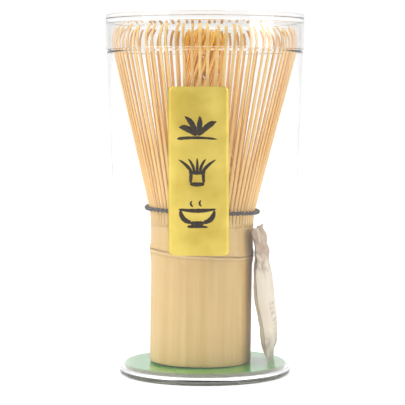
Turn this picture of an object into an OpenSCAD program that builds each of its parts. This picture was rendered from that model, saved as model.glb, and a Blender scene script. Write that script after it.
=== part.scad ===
// Bamboo tea whisk standing in its clear retail case, with label, base pad and drying sachet.
// Millimetres, +Z up. The origin is the centre of the plane that the case stands on.
// The label faces the front, -Y, and the sachet stands beside the handle on +X.

/* [Case] */
// Overall height of the closed case
case_h = 113.8; // [104:0.2:140]
// Outer radius of the cup just above its foot
foot_r = 27.35; // [25:0.05:36]
// Outer radius of the cup just below the lid
mouth_r = 31; // [29:0.05:42]
// Wall of the cup's body
cup_wall = 0.8; // [0.6:0.05:1.4]
// Floor of the cup
floor_t = 1.2; // [0.8:0.1:2.5]
// Height of the foot ring under the floor
foot_ring_h = 1.2; // [0.3:0.1:1.5]
// Width of the foot ring
foot_ring_w = 2.2; // [1.5:0.1:4]
// Radius of the cup's bottom edge
foot_corner = 1; // [0.5:0.1:1.8]
// Wall of the neck that the lid slips over
neck_wall = 0.7; // [0.5:0.05:1.2]

/* [Lid] */
// Wall of the lid's skirt
lid_wall = 0.7; // [0.5:0.05:1.2]
// Radial clearance between the skirt and the neck
lid_fit = 0.08; // [0.02:0.01:0.1]
// How far the lid stands proud of the cup's body
lid_proud = 0.4; // [0.2:0.05:1]
// Length of the skirt below the lid's panel
skirt_len = 8.3; // [5:0.1:14]
// Thickness of the lid's panel
panel_t = 1.2; // [0.8:0.1:2]
// Height of the rim that stands above the panel
rim_h = 1.4; // [0.6:0.1:3]

/* [Label and base pad] */
// Width of the label
label_w = 18.4; // [10:0.1:26]
// Height of the label
label_h = 51; // [30:0.5:64]
// Height of the label's centre above the floor
label_z = 65.6; // [50:0.5:68]
// How far the label is turned from the front towards -X, in degrees
label_turn = 4; // [0:0.5:12]
// Radius of the label's corners
label_corner = 1.4; // [0.5:0.1:3]
// Thickness of the label
label_t = 0.12; // [0.08:0.01:0.3]
// Radius of the green pad on the cup's floor
pad_r = 25.7; // [20:0.1:26]
// Thickness of the pad
pad_t = 1.3; // [0.6:0.1:2.5]

/* [Handle] */
// Radius of the handle below its node
handle_r = 16.1; // [14:0.1:19.5]
// Wall of the handle
handle_wall = 3.4; // [2.4:0.1:4.2]
// Height of the handle, up to where the slits end
handle_h = 42.1; // [38:0.1:46]
// Height of the node's scar above the handle's base
node_h = 35; // [28:0.1:36]
// How far the node's ridge stands out
ridge_out = 0.5; // [0.3:0.05:1]
// Thickness of the septum inside the node
septum_t = 2; // [1:0.1:3]
// How far the handle stands from the case's axis, towards -X
handle_shift = 1.5; // [0:0.1:2]

/* [Tines] */
// Number of staves that the head is split into
stave_count = 18; // [12:1:20]
// Outer tines in one stave, and as many inner ones
tines_per_stave = 4; // [3:1:5]
// Gap between the widest tines and the cup's neck
tine_gap = 0.4; // [0.4:0.1:3]
// Gap between the tips and the lid's panel
head_room = 0.8; // [0.6:0.1:4]
// Length over which the outer tips curl inwards
curl_len = 9; // [8:0.2:18]
// How far the outer tips curl inwards
curl_in = 4; // [2:0.1:6]
// Width of an outer tine at its root
outer_root_w = 1.1; // [0.6:0.05:1.1]
// Width of an outer tine at its tip
outer_tip_w = 0.8; // [0.4:0.05:0.8]
// Width of an inner tine at its root
inner_root_w = 0.7; // [0.4:0.05:0.8]
// Width of an inner tine at its tip
inner_tip_w = 0.4; // [0.3:0.02:0.45]
// Waist radius of the inner bundle
bundle_r = 6; // [5.5:0.1:8]
// Slant of the inner bundle's tines, in degrees
bundle_slant = 16; // [8:1:20]
// Length of the slanted part of the inner bundle
bundle_len = 26; // [20:0.5:30]

/* [Binding thread] */
// Radius of the thread
thread_r = 0.45; // [0.3:0.05:0.6]
// Height of the thread above the handle's top
thread_rise = 6.3; // [5.5:0.1:9]
// Clearance between the thread and the tines
thread_gap = 0.1; // [0.05:0.05:0.3]

/* [Drying sachet] */
// Width of the sachet
sachet_w = 24; // [18:0.5:29]
// Length of the sachet
sachet_l = 42; // [34:0.5:44]
// Outward bulge of each film
sachet_bulge = 1.9; // [1.6:0.1:2.3]
// Thickness of the film
film_t = 0.2; // [0.12:0.02:0.3]
// Width of the sealed margins
seal_w = 3; // [2:0.5:5]
// How far the sachet is turned towards the front, in degrees
sachet_turn = 8; // [0:1:12]
// Gap between the sachet's lower corners and the cup's wall
sachet_wall_gap = 1.2; // [0.6:0.1:2]
// Radius of a desiccant bead
bead_r = 1.1; // [0.8:0.05:1.15]

/* [Hidden] */
$fn = 96;

// Cup and lid
panel_z = case_h - rim_h - panel_t;
skirt_z = panel_z - skirt_len;
step_z = skirt_z - 0.4;
lid_r = mouth_r + lid_proud;
neck_r = lid_r - lid_wall - lid_fit;
neck_in_r = neck_r - neck_wall;
floor_z = foot_ring_h + floor_t;
base_z = floor_z + pad_t;

// Whisk, measured from its own base
rest_gap = 0.05;
whisk_h = panel_z - head_room - base_z;
whisk_lean = atan(handle_shift / whisk_h);
handle_in_r = handle_r - handle_wall;
collar_r = handle_r + 0.15;
root_h = handle_h + 1.5;
layer_r = collar_r - 1.35;
layer_gap = 0.1;
skin_cut = 0.12;
thread_z = handle_h + thread_rise;
bend_z = thread_z - 1.7;
bend_soft = 2;
curl_z = whisk_h - curl_len;
widest_r = neck_in_r - tine_gap;

// The outer tines rise on a straight slope and curl inwards by a parabola over curl_len.
// Their slope is the one that makes the widest point of that curve equal widest_r.
curl_k = curl_len * curl_len / (4 * curl_in);
run = curl_z - bend_z;
rise = widest_r - (collar_r - skin_cut);
slope = (sqrt(run * run + 4 * curl_k * rise) - run) / (2 * curl_k);

pitch = 360 / (stave_count * tines_per_stave);
stave_angle = 360 / stave_count;
slit_angle = 1;
gather_z = whisk_h - 0.4 - bundle_len;
part_z = thread_z + 1;
inner_root_r = layer_r - 0.95;
ring_step = 1.4;

// Sachet
cup_floor_in_r = cup_r(base_z) - cup_wall;
half_w = sachet_w / 2;
sachet_x = sqrt(pow(cup_floor_in_r, 2) - pow(half_w * cos(sachet_turn), 2))
    - half_w * sin(sachet_turn) - sachet_wall_gap;
ramp = 4;
bulge_at_node = sachet_bulge * min(1, max(0, (sachet_l - seal_w - node_h) / ramp));
node_x = -handle_shift + node_h * tan(whisk_lean);
touch_gap = 0.3;
touch_x = node_x + (collar_r + ridge_out + touch_gap) / cos(sachet_turn) + bulge_at_node + film_t;
sachet_lean = atan((sachet_x - touch_x) / node_h);

function two_digits(n) = n < 10 ? str("0", n) : str(n);
function outer_name(i) = str("outer_stave_", two_digits(i + 1));
function inner_name(i) = str("inner_stave_", two_digits(i + 1));

// Outer radius of the cup's body at height z
function cup_r(z) = foot_r + (mouth_r - foot_r) * (z - foot_corner) / (step_z - foot_corner);

// Smooth step from 0 to 1
function smooth(u) = let (v = min(1, max(0, u))) v * v * (3 - 2 * v);

// Outer surface of an outer tine at height z above the whisk's base
function outer_r(z) = let (d = z - bend_z, u = max(0, z - curl_z) / curl_len)
    collar_r - skin_cut + slope / 2 * (d + sqrt(d * d + bend_soft * bend_soft))
    - curl_in * u * u;

// Thickness of an outer tine: a full skin at its root, scraped thin above the thread
function outer_t(z) = 1.1 - 0.5 * smooth((z - thread_z) / 5) - 0.25 * smooth((z - thread_z) / run);

// Middle of an inner tine below the slanted bundle, which it meets at radius end_r
function inner_r(z, end_r) = inner_root_r
    + (end_r - inner_root_r) * smooth((z - part_z) / (gather_z - part_z));

function inner_t(z) = 0.9 - 0.5 * smooth((z - part_z) / 12);

// ---- Case ----

module case_cup() {
    inner_step = 0.6;
    color([0.86, 0.92, 0.95, 0.35])
    rotate_extrude()
    polygon(concat(
        [[0, foot_ring_h], [foot_r - foot_ring_w - foot_ring_h, foot_ring_h], [foot_r - foot_ring_w, 0]],
        [for (a = [-90:15:0])
            [foot_r - foot_corner + foot_corner * cos(a), foot_corner + foot_corner * sin(a)]],
        [[mouth_r, step_z], [neck_r, step_z], [neck_r, panel_z], [neck_in_r, panel_z],
         [neck_in_r, step_z], [cup_r(step_z - inner_step) - cup_wall, step_z - inner_step],
         [cup_r(floor_z) - cup_wall, floor_z], [0, floor_z]]));
}

module case_lid() {
    color([0.9, 0.94, 0.97, 0.35])
    rotate_extrude()
    polygon([[0, panel_z], [lid_r - lid_wall, panel_z], [lid_r - lid_wall, skirt_z],
             [lid_r, skirt_z], [lid_r, case_h], [lid_r - lid_wall, case_h],
             [lid_r - lid_wall, panel_z + panel_t], [0, panel_z + panel_t]]);
}

module base_pad() {
    color("mediumseagreen")
    translate([0, 0, floor_z])
    cylinder(r = pad_r, h = pad_t);
}

module rounded_rectangle(w, h, r) {
    square([w - 2 * r, h], center = true);
    square([w, h - 2 * r], center = true);
    for (x = [-1, 1], y = [-1, 1])
        translate([x * (w / 2 - r), y * (h / 2 - r)])
        circle(r = r);
}

// A patch of the cone just outside the cup, trimmed to the label's outline
module label() {
    glue_gap = 0.02;
    low = label_z - label_h / 2 - 1;
    high = label_z + label_h / 2 + 1;
    color("gold")
    rotate([0, 0, -label_turn])
    intersection() {
        rotate([0, 0, -150])
        rotate_extrude(angle = 120)
        polygon([for (p = [[low, 0], [low, label_t], [high, label_t], [high, 0]])
            [cup_r(p[0]) + glue_gap + p[1], p[0]]]);
        translate([0, 0, label_z])
        rotate([90, 0, 0])
        linear_extrude(height = mouth_r + 5)
        rounded_rectangle(label_w, label_h, label_corner);
    }
}

// ---- Whisk ----

// Stands the whisk on the edge of its base and leans it until its tips are centred in the case
module in_case() {
    translate([handle_r - handle_shift, 0, base_z + rest_gap])
    rotate([0, whisk_lean, 0])
    translate([-handle_r, 0, 0])
    children();
}

// One length of culm: open below, closed inside the node by its septum, open above
module handle() {
    edge = 0.3;
    swell = 4;
    scar = 0.35;
    steps = 6;
    color("burlywood")
    in_case()
    rotate_extrude()
    polygon(concat(
        [[handle_in_r, 0], [handle_r - edge, 0], [handle_r, edge]],
        [for (i = [0:steps]) let (u = i / steps)
            [handle_r + ridge_out * smooth(u), node_h - scar - swell * (1 - u)]],
        [[handle_r + ridge_out - scar, node_h]],
        [for (i = [0:steps]) let (u = i / steps)
            [collar_r + ridge_out * (1 - smooth(u)), node_h + scar + swell / 2 * u]],
        [[collar_r, handle_h], [handle_in_r, handle_h], [handle_in_r, node_h + septum_t / 2],
         [0, node_h + septum_t / 2], [0, node_h - septum_t / 2],
         [handle_in_r, node_h - septum_t / 2]]));
}

// The solid foot that holds one stave's tines together, from radius r0 to r1
module stave_root(r0, r1, middle) {
    rotate([0, 0, middle - (stave_angle - slit_angle) / 2])
    rotate_extrude(angle = stave_angle - slit_angle)
    translate([r0, handle_h])
    square([r1 - r0, root_h - handle_h]);
}

// A slat whose side view is the given outline and whose front view narrows from w0 to w1
module slat(outline, z0, z1, w0, w1) {
    intersection() {
        rotate([90, 0, 0])
        linear_extrude(height = w0 + 1, center = true)
        polygon(outline);
        rotate([90, 0, 90])
        linear_extrude(height = mouth_r)
        polygon([[-w0 / 2, z0], [w0 / 2, z0], [w1 / 2, z1], [-w1 / 2, z1]]);
    }
}

module outer_tine() {
    z0 = handle_h + 0.4;
    levels = concat([z0], [for (z = [bend_z - 1.2:1.2:bend_z + 3.6]) z],
        [for (i = [1:4]) bend_z + 3.6 + (curl_z - bend_z - 3.6) * i / 4],
        [for (i = [1:6]) curl_z + curl_len * i / 6]);
    last = len(levels) - 1;
    outline = concat([for (z = levels) [outer_r(z), z]],
        [for (i = [last:-1:0]) [outer_r(levels[i]) - outer_t(levels[i]), levels[i]]]);
    slat(outline, z0 - 1, whisk_h + 1, outer_root_w, outer_tip_w);
}

module outer_stave(i) {
    color([0.95, 0.82, 0.62])
    in_case()
    rotate([0, 0, i * stave_angle]) {
        stave_root(layer_r + layer_gap, collar_r, 0);
        for (j = [0:tines_per_stave - 1])
            rotate([0, 0, (j - (tines_per_stave - 1) / 2) * pitch])
            outer_tine();
    }
}

// An inner tine bends inwards above the thread and then runs straight and slanted.
// The slanted stick passes the axis at distance waist_r, half-way up the bundle.
module inner_tine(waist_r) {
    z0 = handle_h + 0.4;
    lap = 0.5;
    steps = 8;
    travel = bundle_len / 2 * tan(bundle_slant);
    end_r = sqrt(waist_r * waist_r + travel * travel);
    levels = concat([z0], [for (k = [0:steps]) part_z + (gather_z + lap - part_z) * k / steps]);
    outline = concat([for (z = levels) [inner_r(z, end_r) + inner_t(z) / 2, z]],
        [for (k = [len(levels) - 1:-1:0])
            [inner_r(levels[k], end_r) - inner_t(levels[k]) / 2, levels[k]]]);
    slat(outline, z0 - 1, gather_z + 1, inner_root_w, inner_tip_w);
    rotate([0, 0, atan(travel / waist_r)])
    translate([waist_r, 0, gather_z + bundle_len / 2])
    rotate([-bundle_slant, 0, 0])
    cube([inner_t(whisk_h) * 0.95, inner_tip_w, bundle_len / cos(bundle_slant)], center = true);
}

// The inner tines stand half a pitch on from the outer ones, in two rings
module inner_stave(i) {
    half_pitch = pitch / 2;
    color([0.85, 0.62, 0.32])
    in_case()
    rotate([0, 0, i * stave_angle + half_pitch]) {
        stave_root(handle_in_r + 0.2, layer_r - layer_gap, 0);
        for (j = [0:tines_per_stave - 1])
            rotate([0, 0, (j - (tines_per_stave - 1) / 2) * pitch])
            inner_tine(bundle_r - ring_step * (j % 2));
    }
}

module thread_ring(r, z) {
    color("dimgray")
    in_case()
    translate([0, 0, z])
    rotate_extrude()
    translate([r, 0])
    circle(r = thread_r, $fn = 32);
}

// Radius at which a round of thread lies against the outer tines at height z
function round_r(z) = outer_r(z + thread_r) + thread_r + thread_gap;

module thread_lower_round() {
    thread_ring(round_r(thread_z), thread_z - thread_r);
}

module thread_upper_round() {
    thread_ring(round_r(thread_z + thread_r), thread_z + thread_r + thread_gap);
}

// The round that keeps the inner and the outer tines apart
module thread_inner_round() {
    z = thread_z + thread_r;
    thread_ring((outer_r(z) - outer_t(z) + inner_root_r + inner_t(z) / 2) / 2, z);
}

// The knot lies on the back of the upper round, with two short cut ends that hang from it
module thread_knot() {
    knot_r = 2.2 * thread_r;
    r = round_r(thread_z + thread_r) + thread_r + knot_r + thread_gap;
    end_l = 2.6;
    end_angle = 18;
    color("dimgray")
    in_case()
    translate([0, r, thread_z + thread_r]) {
        sphere(r = knot_r);
        for (side = [-1, 1])
            translate([side * knot_r / 2, 0, -knot_r / 3])
            rotate([180, side * end_angle, 0])
            cylinder(r = thread_r * 0.9, h = end_l);
    }
}

// ---- Drying sachet ----

module in_sachet_place() {
    translate([sachet_x, 0, base_z + rest_gap])
    rotate([0, 0, -sachet_turn])
    rotate([0, -sachet_lean, 0])
    children();
}

// A flat-topped mound on the plane x = 0, shrunk by inset on all sides
module mound(inset, height) {
    foot = seal_w + inset;
    hull() {
        translate([-film_t, foot - half_w, foot])
        cube([film_t, sachet_w - 2 * foot, sachet_l - 2 * foot]);
        translate([0, foot + ramp - half_w, foot + ramp])
        cube([height, sachet_w - 2 * (foot + ramp), sachet_l - 2 * (foot + ramp)]);
    }
}

// One film: a flat margin with a pocket that bulges to +X
module film() {
    difference() {
        union() {
            translate([0, -half_w, 0])
            cube([film_t, sachet_w, sachet_l]);
            mound(0, sachet_bulge);
        }
        mound(film_t, sachet_bulge - film_t);
        translate([-2 * film_t, -half_w, 0])
        cube([2 * film_t, sachet_w, sachet_l]);
    }
}

module sachet_outer_film() {
    color("ivory")
    in_sachet_place()
    film();
}

module sachet_inner_film() {
    color("wheat")
    in_sachet_place()
    mirror([1, 0, 0])
    film();
}

// Loose beads, drawn as rows that step from one side of the pocket to the other
module desiccant_beads() {
    step = 2.1 * bead_r;
    room = seal_w + ramp;
    columns = floor((sachet_w - 2 * room) / step);
    rows = floor((sachet_l * 0.62 - room) / step);
    side = max(0, sachet_bulge - 2 * film_t - bead_r);
    color("lightskyblue")
    in_sachet_place()
    for (k = [0:rows - 1], j = [0:columns])
        translate([(k + j) % 2 == 0 ? side : -side, (j - columns / 2) * step, room + k * step])
        sphere(r = bead_r, $fn = 24);
}

case_cup();
case_lid();
label();
base_pad();
sachet_inner_film();
sachet_outer_film();
desiccant_beads();
handle();
thread_lower_round();
thread_upper_round();
thread_inner_round();
thread_knot();
for (i = [0:stave_count - 1]) {
    outer_stave(i);
    inner_stave(i);
}
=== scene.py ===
"""The looks of a bamboo tea whisk that stands in its clear retail case.

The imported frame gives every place. The classes hold their sizes in millimetres, as the design
does, and Shell.build turns them into metres. The case stands on z = 0, its label faces -Y, and
the drying sachet stands beside the handle on +X.
"""

import logging
import math
from collections.abc import Sequence
from dataclasses import dataclass
from enum import Enum

import bpy
import numpy as np
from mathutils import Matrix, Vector


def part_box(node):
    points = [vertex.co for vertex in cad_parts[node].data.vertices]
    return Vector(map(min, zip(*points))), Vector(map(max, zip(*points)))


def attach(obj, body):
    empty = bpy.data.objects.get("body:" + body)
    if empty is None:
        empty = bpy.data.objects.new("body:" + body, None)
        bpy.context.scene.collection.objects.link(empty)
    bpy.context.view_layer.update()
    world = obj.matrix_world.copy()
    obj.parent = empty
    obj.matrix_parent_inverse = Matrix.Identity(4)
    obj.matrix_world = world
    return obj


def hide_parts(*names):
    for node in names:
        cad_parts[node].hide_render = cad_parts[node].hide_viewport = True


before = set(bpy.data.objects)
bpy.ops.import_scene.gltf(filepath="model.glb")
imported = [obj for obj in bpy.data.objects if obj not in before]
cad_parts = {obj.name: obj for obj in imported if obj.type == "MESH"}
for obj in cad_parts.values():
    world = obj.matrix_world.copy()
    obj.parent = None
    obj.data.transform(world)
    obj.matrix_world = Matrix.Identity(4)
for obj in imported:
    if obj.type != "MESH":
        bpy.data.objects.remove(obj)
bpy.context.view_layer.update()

MM = 0.001
SEED = 108
Array = np.ndarray
Colour = tuple[float, float, float]
Node = bpy.types.Node
NodeTree = bpy.types.NodeTree
Socket = bpy.types.NodeSocket
log = logging.getLogger("tea_whisk")


# ---------------------------------------------------------------- shapes as whole arrays


def smooth_step(u: Array | float) -> Array:
    """Rises smoothly from 0 to 1: 3u squared minus 2u cubed, held at both ends."""
    v = np.clip(u, 0.0, 1.0)
    return v * v * (3.0 - 2.0 * v)


def bell(x: Array, width: float) -> Array:
    """A bell curve of height 1 about 0."""
    return np.exp(-((x / width) ** 2))


def around(count: int) -> Array:
    """Evenly spaced angles round a full circle."""
    return np.arange(count) * (2.0 * np.pi / count)


def unit(vectors: Array) -> Array:
    """The vectors, each at length 1."""
    return vectors / np.linalg.norm(vectors, axis=-1, keepdims=True)


def soft_noise(rng: np.random.Generator, points: Array, waves: int, size: float) -> Array:
    """A smooth seeded noise: the mean of sine waves in random directions.

    Args:
        rng: the source of the directions and phases.
        points: places to read it at, with x, y and z last.
        waves: how many sine waves are added.
        size: the shortest wave's length.

    Returns:
        One value between -1 and 1 for each point.
    """
    directions = unit(rng.normal(size=(waves, 3)))
    lengths = size * (1.0 + 2.0 * rng.random(waves))
    phases = rng.random(waves) * 2.0 * np.pi
    phase = points @ (directions / lengths[:, None]).T * 2.0 * np.pi + phases
    return np.sin(phase).mean(axis=-1) * 1.8


def rounded_outline(corners: Sequence[tuple[float, float, float]], steps: int = 4) -> Array:
    """An open outline of (r, z) points whose inner corners are rounded.

    Each corner is (r, z, reach). Its bend is a quadratic curve that leaves both sides at reach
    from the corner, with one more point on each side to keep the flats flat.

    Args:
        corners: the corners in order; a reach of 0 keeps a corner as it is.
        steps: pieces in each bend.

    Returns:
        An array of (r, z) points.
    """
    spots = np.array([c[:2] for c in corners])
    t = np.linspace(0.0, 1.0, steps + 1)[:, None]
    parts = []
    for i, (_, _, reach) in enumerate(corners):
        if reach == 0.0:
            parts.append(spots[i : i + 1])
            continue
        back = unit(spots[i - 1] - spots[i])
        on = unit(spots[i + 1] - spots[i])
        start = spots[i] + back * reach
        end = spots[i] + on * reach
        bend = (1 - t) ** 2 * start + 2 * t * (1 - t) * spots[i] + t * t * end
        parts += [(start + back * 0.3 * reach)[None], bend, (end + on * 0.3 * reach)[None]]
    return np.concatenate(parts)


def lathe(outline: Array, angles: Array) -> Array:
    """A surface of revolution: each (r, z) of the outline is carried round the axis."""
    r, z = outline[:, :1], outline[:, 1:]
    return np.stack([r * np.cos(angles), r * np.sin(angles), z + 0.0 * angles], axis=-1)


def carried(profile: Array, path: Array, across: Array, through: Array) -> Array:
    """A profile along a path: ring n, point k is path[n] + x_k across[n] + y_k through[n]."""
    return (
        path[:, None, :]
        + profile[None, :, :1] * across[:, None, :]
        + profile[None, :, 1:] * through[:, None, :]
    )


def tube(path: Array, radius: float | Array, sides: int, closed: bool) -> Array:
    """A round tube along a path, in a frame that leans on the local up direction.

    Args:
        path: the middle line's points.
        radius: one radius, or one for each point.
        sides: points in each ring.
        closed: whether the path runs back into its start.

    Returns:
        A grid of points, one row for each point of the path.
    """
    if closed:
        ahead = np.roll(path, -1, axis=0) - np.roll(path, 1, axis=0)
    else:
        ahead = np.gradient(path, axis=0)
    ahead = unit(ahead)
    up = np.where(
        np.abs(ahead[:, 2:]) > 0.9, np.array([[0.0, 1.0, 0.0]]), np.array([[0.0, 0.0, 1.0]])
    )
    across = unit(np.cross(up, ahead))
    through = np.cross(ahead, across)
    size = np.broadcast_to(np.asarray(radius, dtype=float).reshape(-1, 1), (len(path), 1))
    angles = around(sides)
    ring = np.stack([np.cos(angles), np.sin(angles)], axis=-1)
    return carried(ring, path, across * size, through * size)


def grid_faces(rows: int, cols: int, wrap_rows: bool, wrap_cols: bool) -> Array:
    """Four-sided faces over a grid of points, whose outside is on the right of a rising row."""
    r = np.arange(rows if wrap_rows else rows - 1)[:, None]
    c = np.arange(cols if wrap_cols else cols - 1)[None, :]
    r_next, c_next = (r + 1) % rows, (c + 1) % cols
    quads = np.stack(
        [r * cols + c, r * cols + c_next, r_next * cols + c_next, r_next * cols + c], axis=-1
    )
    return quads.reshape(-1, 4)


class Shell:
    """A mesh under construction: closed patches, laid one after another, in millimetres."""

    def __init__(self) -> None:
        """Starts with nothing laid."""
        self.points: list[Array] = []
        self.faces: list[Array] = []
        self.values: dict[str, list[Array]] = {}
        self.count = 0

    def lay(self, points: Array, faces: Sequence[Array], values: dict[str, Array]) -> None:
        """Adds one closed patch, and turns it the right way out if its volume is negative.

        Args:
            points: (n, 3) places.
            faces: index arrays, each of faces with one number of corners.
            values: named numbers, one for each point; every patch of a shell has the same names.
        """
        volume = 0.0
        for f in faces:
            a, b, c = points[f[:, 0]][:, None], points[f[:, 1:-1]], points[f[:, 2:]]
            volume += float((np.cross(b, c) * a).sum())
        for f in faces:
            self.faces.append((f if volume > 0 else f[:, ::-1]) + self.count)
        self.points.append(points)
        self.count += len(points)
        for name, numbers in values.items():
            self.values.setdefault(name, []).append(
                np.broadcast_to(numbers, points.shape[:1]).ravel()
            )

    def lay_tube(self, grid: Array, closed: bool = False, **values: Array) -> None:
        """Adds a grid of rings, joined end to end if closed, or else capped at both ends.

        Args:
            grid: (rows, cols, 3) points, a ring in each row.
            closed: whether the last ring joins the first.
            values: named numbers for each grid point.
        """
        rows, cols = grid.shape[:2]
        faces = [grid_faces(rows, cols, closed, True)]
        if not closed:
            ring = np.arange(cols)
            faces += [ring[None, ::-1], ring[None] + (rows - 1) * cols]
        flat = {k: np.broadcast_to(v, (rows, cols)).reshape(-1) for k, v in values.items()}
        self.lay(grid.reshape(-1, 3), faces, flat)

    def lay_slab(self, face: Array, back: Array, **values: Array) -> None:
        """Adds a thin closed patch between two grids of points, closed round its rim.

        Args:
            face: (rows, cols, 3) points of one side.
            back: as many points of the other side.
            values: named numbers for each grid point, the same on both sides.
        """
        rows, cols = face.shape[:2]
        count = rows * cols
        front = grid_faces(rows, cols, False, False)
        index = np.arange(count).reshape(rows, cols)
        rim = np.concatenate([index[0, :-1], index[:-1, -1], index[-1, :0:-1], index[:0:-1, 0]])
        on = np.roll(rim, -1)
        side = np.stack([on, rim, rim + count, on + count], axis=-1)
        points = np.concatenate([face.reshape(-1, 3), back.reshape(-1, 3)])
        flat = {
            k: np.tile(np.broadcast_to(v, (rows, cols)).reshape(-1), 2) for k, v in values.items()
        }
        self.lay(points, [front, front[:, ::-1] + count, side], flat)

    def lay_turned(self, grid: Array, **values: Array) -> None:
        """Adds a turned solid whose first and last rows lie on the axis and become pole points.

        Args:
            grid: (rows, cols, 3) points from lathe.
            values: named numbers for each grid point.
        """
        rows, cols = grid.shape[:2]
        ring = np.arange(cols)
        low, high = (rows - 2) * cols, (rows - 2) * cols + 1
        last = (rows - 3) * cols
        fans = [
            np.stack([np.full(cols, low), (ring + 1) % cols, ring], axis=-1),
            np.stack([np.full(cols, high), last + ring, last + (ring + 1) % cols], axis=-1),
        ]
        points = np.concatenate([grid[1:-1].reshape(-1, 3), grid[0, :1], grid[-1, :1]])
        flat = {}
        for k, v in values.items():
            full = np.broadcast_to(v, (rows, cols))
            flat[k] = np.concatenate([full[1:-1].reshape(-1), full[0, :1], full[-1, :1]])
        self.lay(points, [grid_faces(rows - 2, cols, False, True), *fans], flat)

    def build(self, name: str, material: bpy.types.Material) -> bpy.types.Object:
        """Makes the Blender piece.

        Args:
            name: the piece's name.
            material: its finish.

        Returns:
            The new object, at the origin, with its place in its mesh.
        """
        mesh = bpy.data.meshes.new(name)
        points = np.concatenate(self.points) * MM
        corners = np.concatenate([f.ravel() for f in self.faces])
        sides = np.concatenate([np.full(len(f), f.shape[1]) for f in self.faces])
        mesh.vertices.add(len(points))
        mesh.vertices.foreach_set("co", points.ravel())
        mesh.loops.add(len(corners))
        mesh.loops.foreach_set("vertex_index", corners)
        mesh.polygons.add(len(sides))
        mesh.polygons.foreach_set("loop_start", np.concatenate([[0], np.cumsum(sides)[:-1]]))
        mesh.polygons.foreach_set("loop_total", sides)
        for key, numbers in self.values.items():
            mesh.attributes.new(key, "FLOAT", "POINT").data.foreach_set(
                "value", np.concatenate(numbers)
            )
        mesh.update(calc_edges=True)
        mesh.validate()
        mesh.shade_smooth()
        mesh.materials.append(material)
        piece = bpy.data.objects.new(name, mesh)
        bpy.context.scene.collection.objects.link(piece)
        return piece


def node_box(node: str) -> tuple[Array, Array]:
    """The lowest and highest corners of a CAD node, in millimetres."""
    low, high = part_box(node)
    return np.array(low) / MM, np.array(high) / MM


def hand_over(piece: bpy.types.Object, body: str, slot: str, *nodes: str) -> None:
    """Lets a piece ride on its body and stand for its CAD nodes.

    Args:
        piece: the finished piece.
        body: the body that it moves with.
        slot: the record's material slot; not used.
        nodes: the CAD nodes that it stands for.
    """
    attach(piece, body)
    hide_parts(*nodes)
    log.info("%s: %d faces, rides on %s", piece.name, len(piece.data.polygons), body)


# ---------------------------------------------------------------- finishes


class Direction(Enum):
    """How a pattern is stretched over the object, as scale factors for x, y and z."""

    EVEN = (1.0, 1.0, 1.0)
    UP_THE_CULM = (1.0, 1.0, 0.035)
    ROUND_THE_CULM = (0.25, 0.25, 1.0)


def from_screen(red: float, green: float, blue: float) -> Colour:
    """A colour given as 0 to 255 screen values, as linear light."""
    v = np.array([red, green, blue]) / 255.0
    linear = np.where(v <= 0.04045, v / 12.92, ((v + 0.055) / 1.055) ** 2.4)
    return tuple(float(c) for c in linear)


class Painter:
    """Lays the nodes of one material or node group."""

    def __init__(self, tree: NodeTree) -> None:
        """Works on the given tree."""
        self.tree = tree

    def feed(self, socket: Socket, value: object) -> None:
        """Links a socket to another node's output, or sets its plain value."""
        if isinstance(value, Socket):
            self.tree.links.new(value, socket)
        elif socket.type == "RGBA":
            socket.default_value = (*value, 1.0)
        else:
            socket.default_value = value

    def node(self, kind: str, inputs: dict[str | int, object], **settings: object) -> Node:
        """Adds a node.

        Args:
            kind: its type, without the leading ShaderNode.
            inputs: what each socket gets, by name or by number.
            settings: the node's own options.

        Returns:
            The new node.
        """
        node = self.tree.nodes.new("ShaderNode" + kind)
        for key, value in settings.items():
            setattr(node, key, value)
        for key, value in inputs.items():
            self.feed(node.inputs[key], value)
        return node

    def attribute(self, name: str) -> Socket:
        """The number that the mesh carries under this name."""
        return self.node("Attribute", {}, attribute_name=name).outputs["Fac"]

    def blend(self, mask: object, low: object, high: object) -> Socket:
        """The colour that goes from low to high as the mask goes from 0 to 1."""
        return self.node("Mix", {0: mask, 6: low, 7: high}, data_type="RGBA").outputs[2]

    def span(self, mask: object, low: float, high: float) -> Socket:
        """The number that goes from low to high as the mask goes from 0 to 1."""
        return self.node("MapRange", {"Value": mask, "To Min": low, "To Max": high}).outputs[0]

    def cut(self, value: object, low: float, high: float) -> Socket:
        """A mask that goes from 0 to 1 as the value goes from low to high."""
        return self.node("MapRange", {"Value": value, "From Min": low, "From Max": high}).outputs[0]

    def wash(self, colour: object, hue: Colour, mask: object, share: float) -> Socket:
        """The colour, washed over with the hue by as much as the share where the mask is 1."""
        return self.blend(self.span(mask, 0.0, share), colour, hue)

    def maths(self, operation: str, a: object, b: object) -> Socket:
        """One sum of two numbers."""
        return self.node("Math", {0: a, 1: b}, operation=operation).outputs[0]

    def bump(self, height: object, depth: float, strength: float = 1.0) -> Socket:
        """The normal of a surface that rises by the depth, in metres, where the height is 1."""
        return self.node(
            "Bump", {"Height": height, "Distance": depth, "Strength": strength}
        ).outputs[0]

    def effect(self, group: NodeTree, **inputs: object) -> Socket:
        """Places a shared effect with its own values, and gives its first output."""
        node = self.node("Group", {}, node_tree=group)
        for key, value in inputs.items():
            self.feed(node.inputs[key.replace("_", " ")], value)
        return node.outputs[0]


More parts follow.
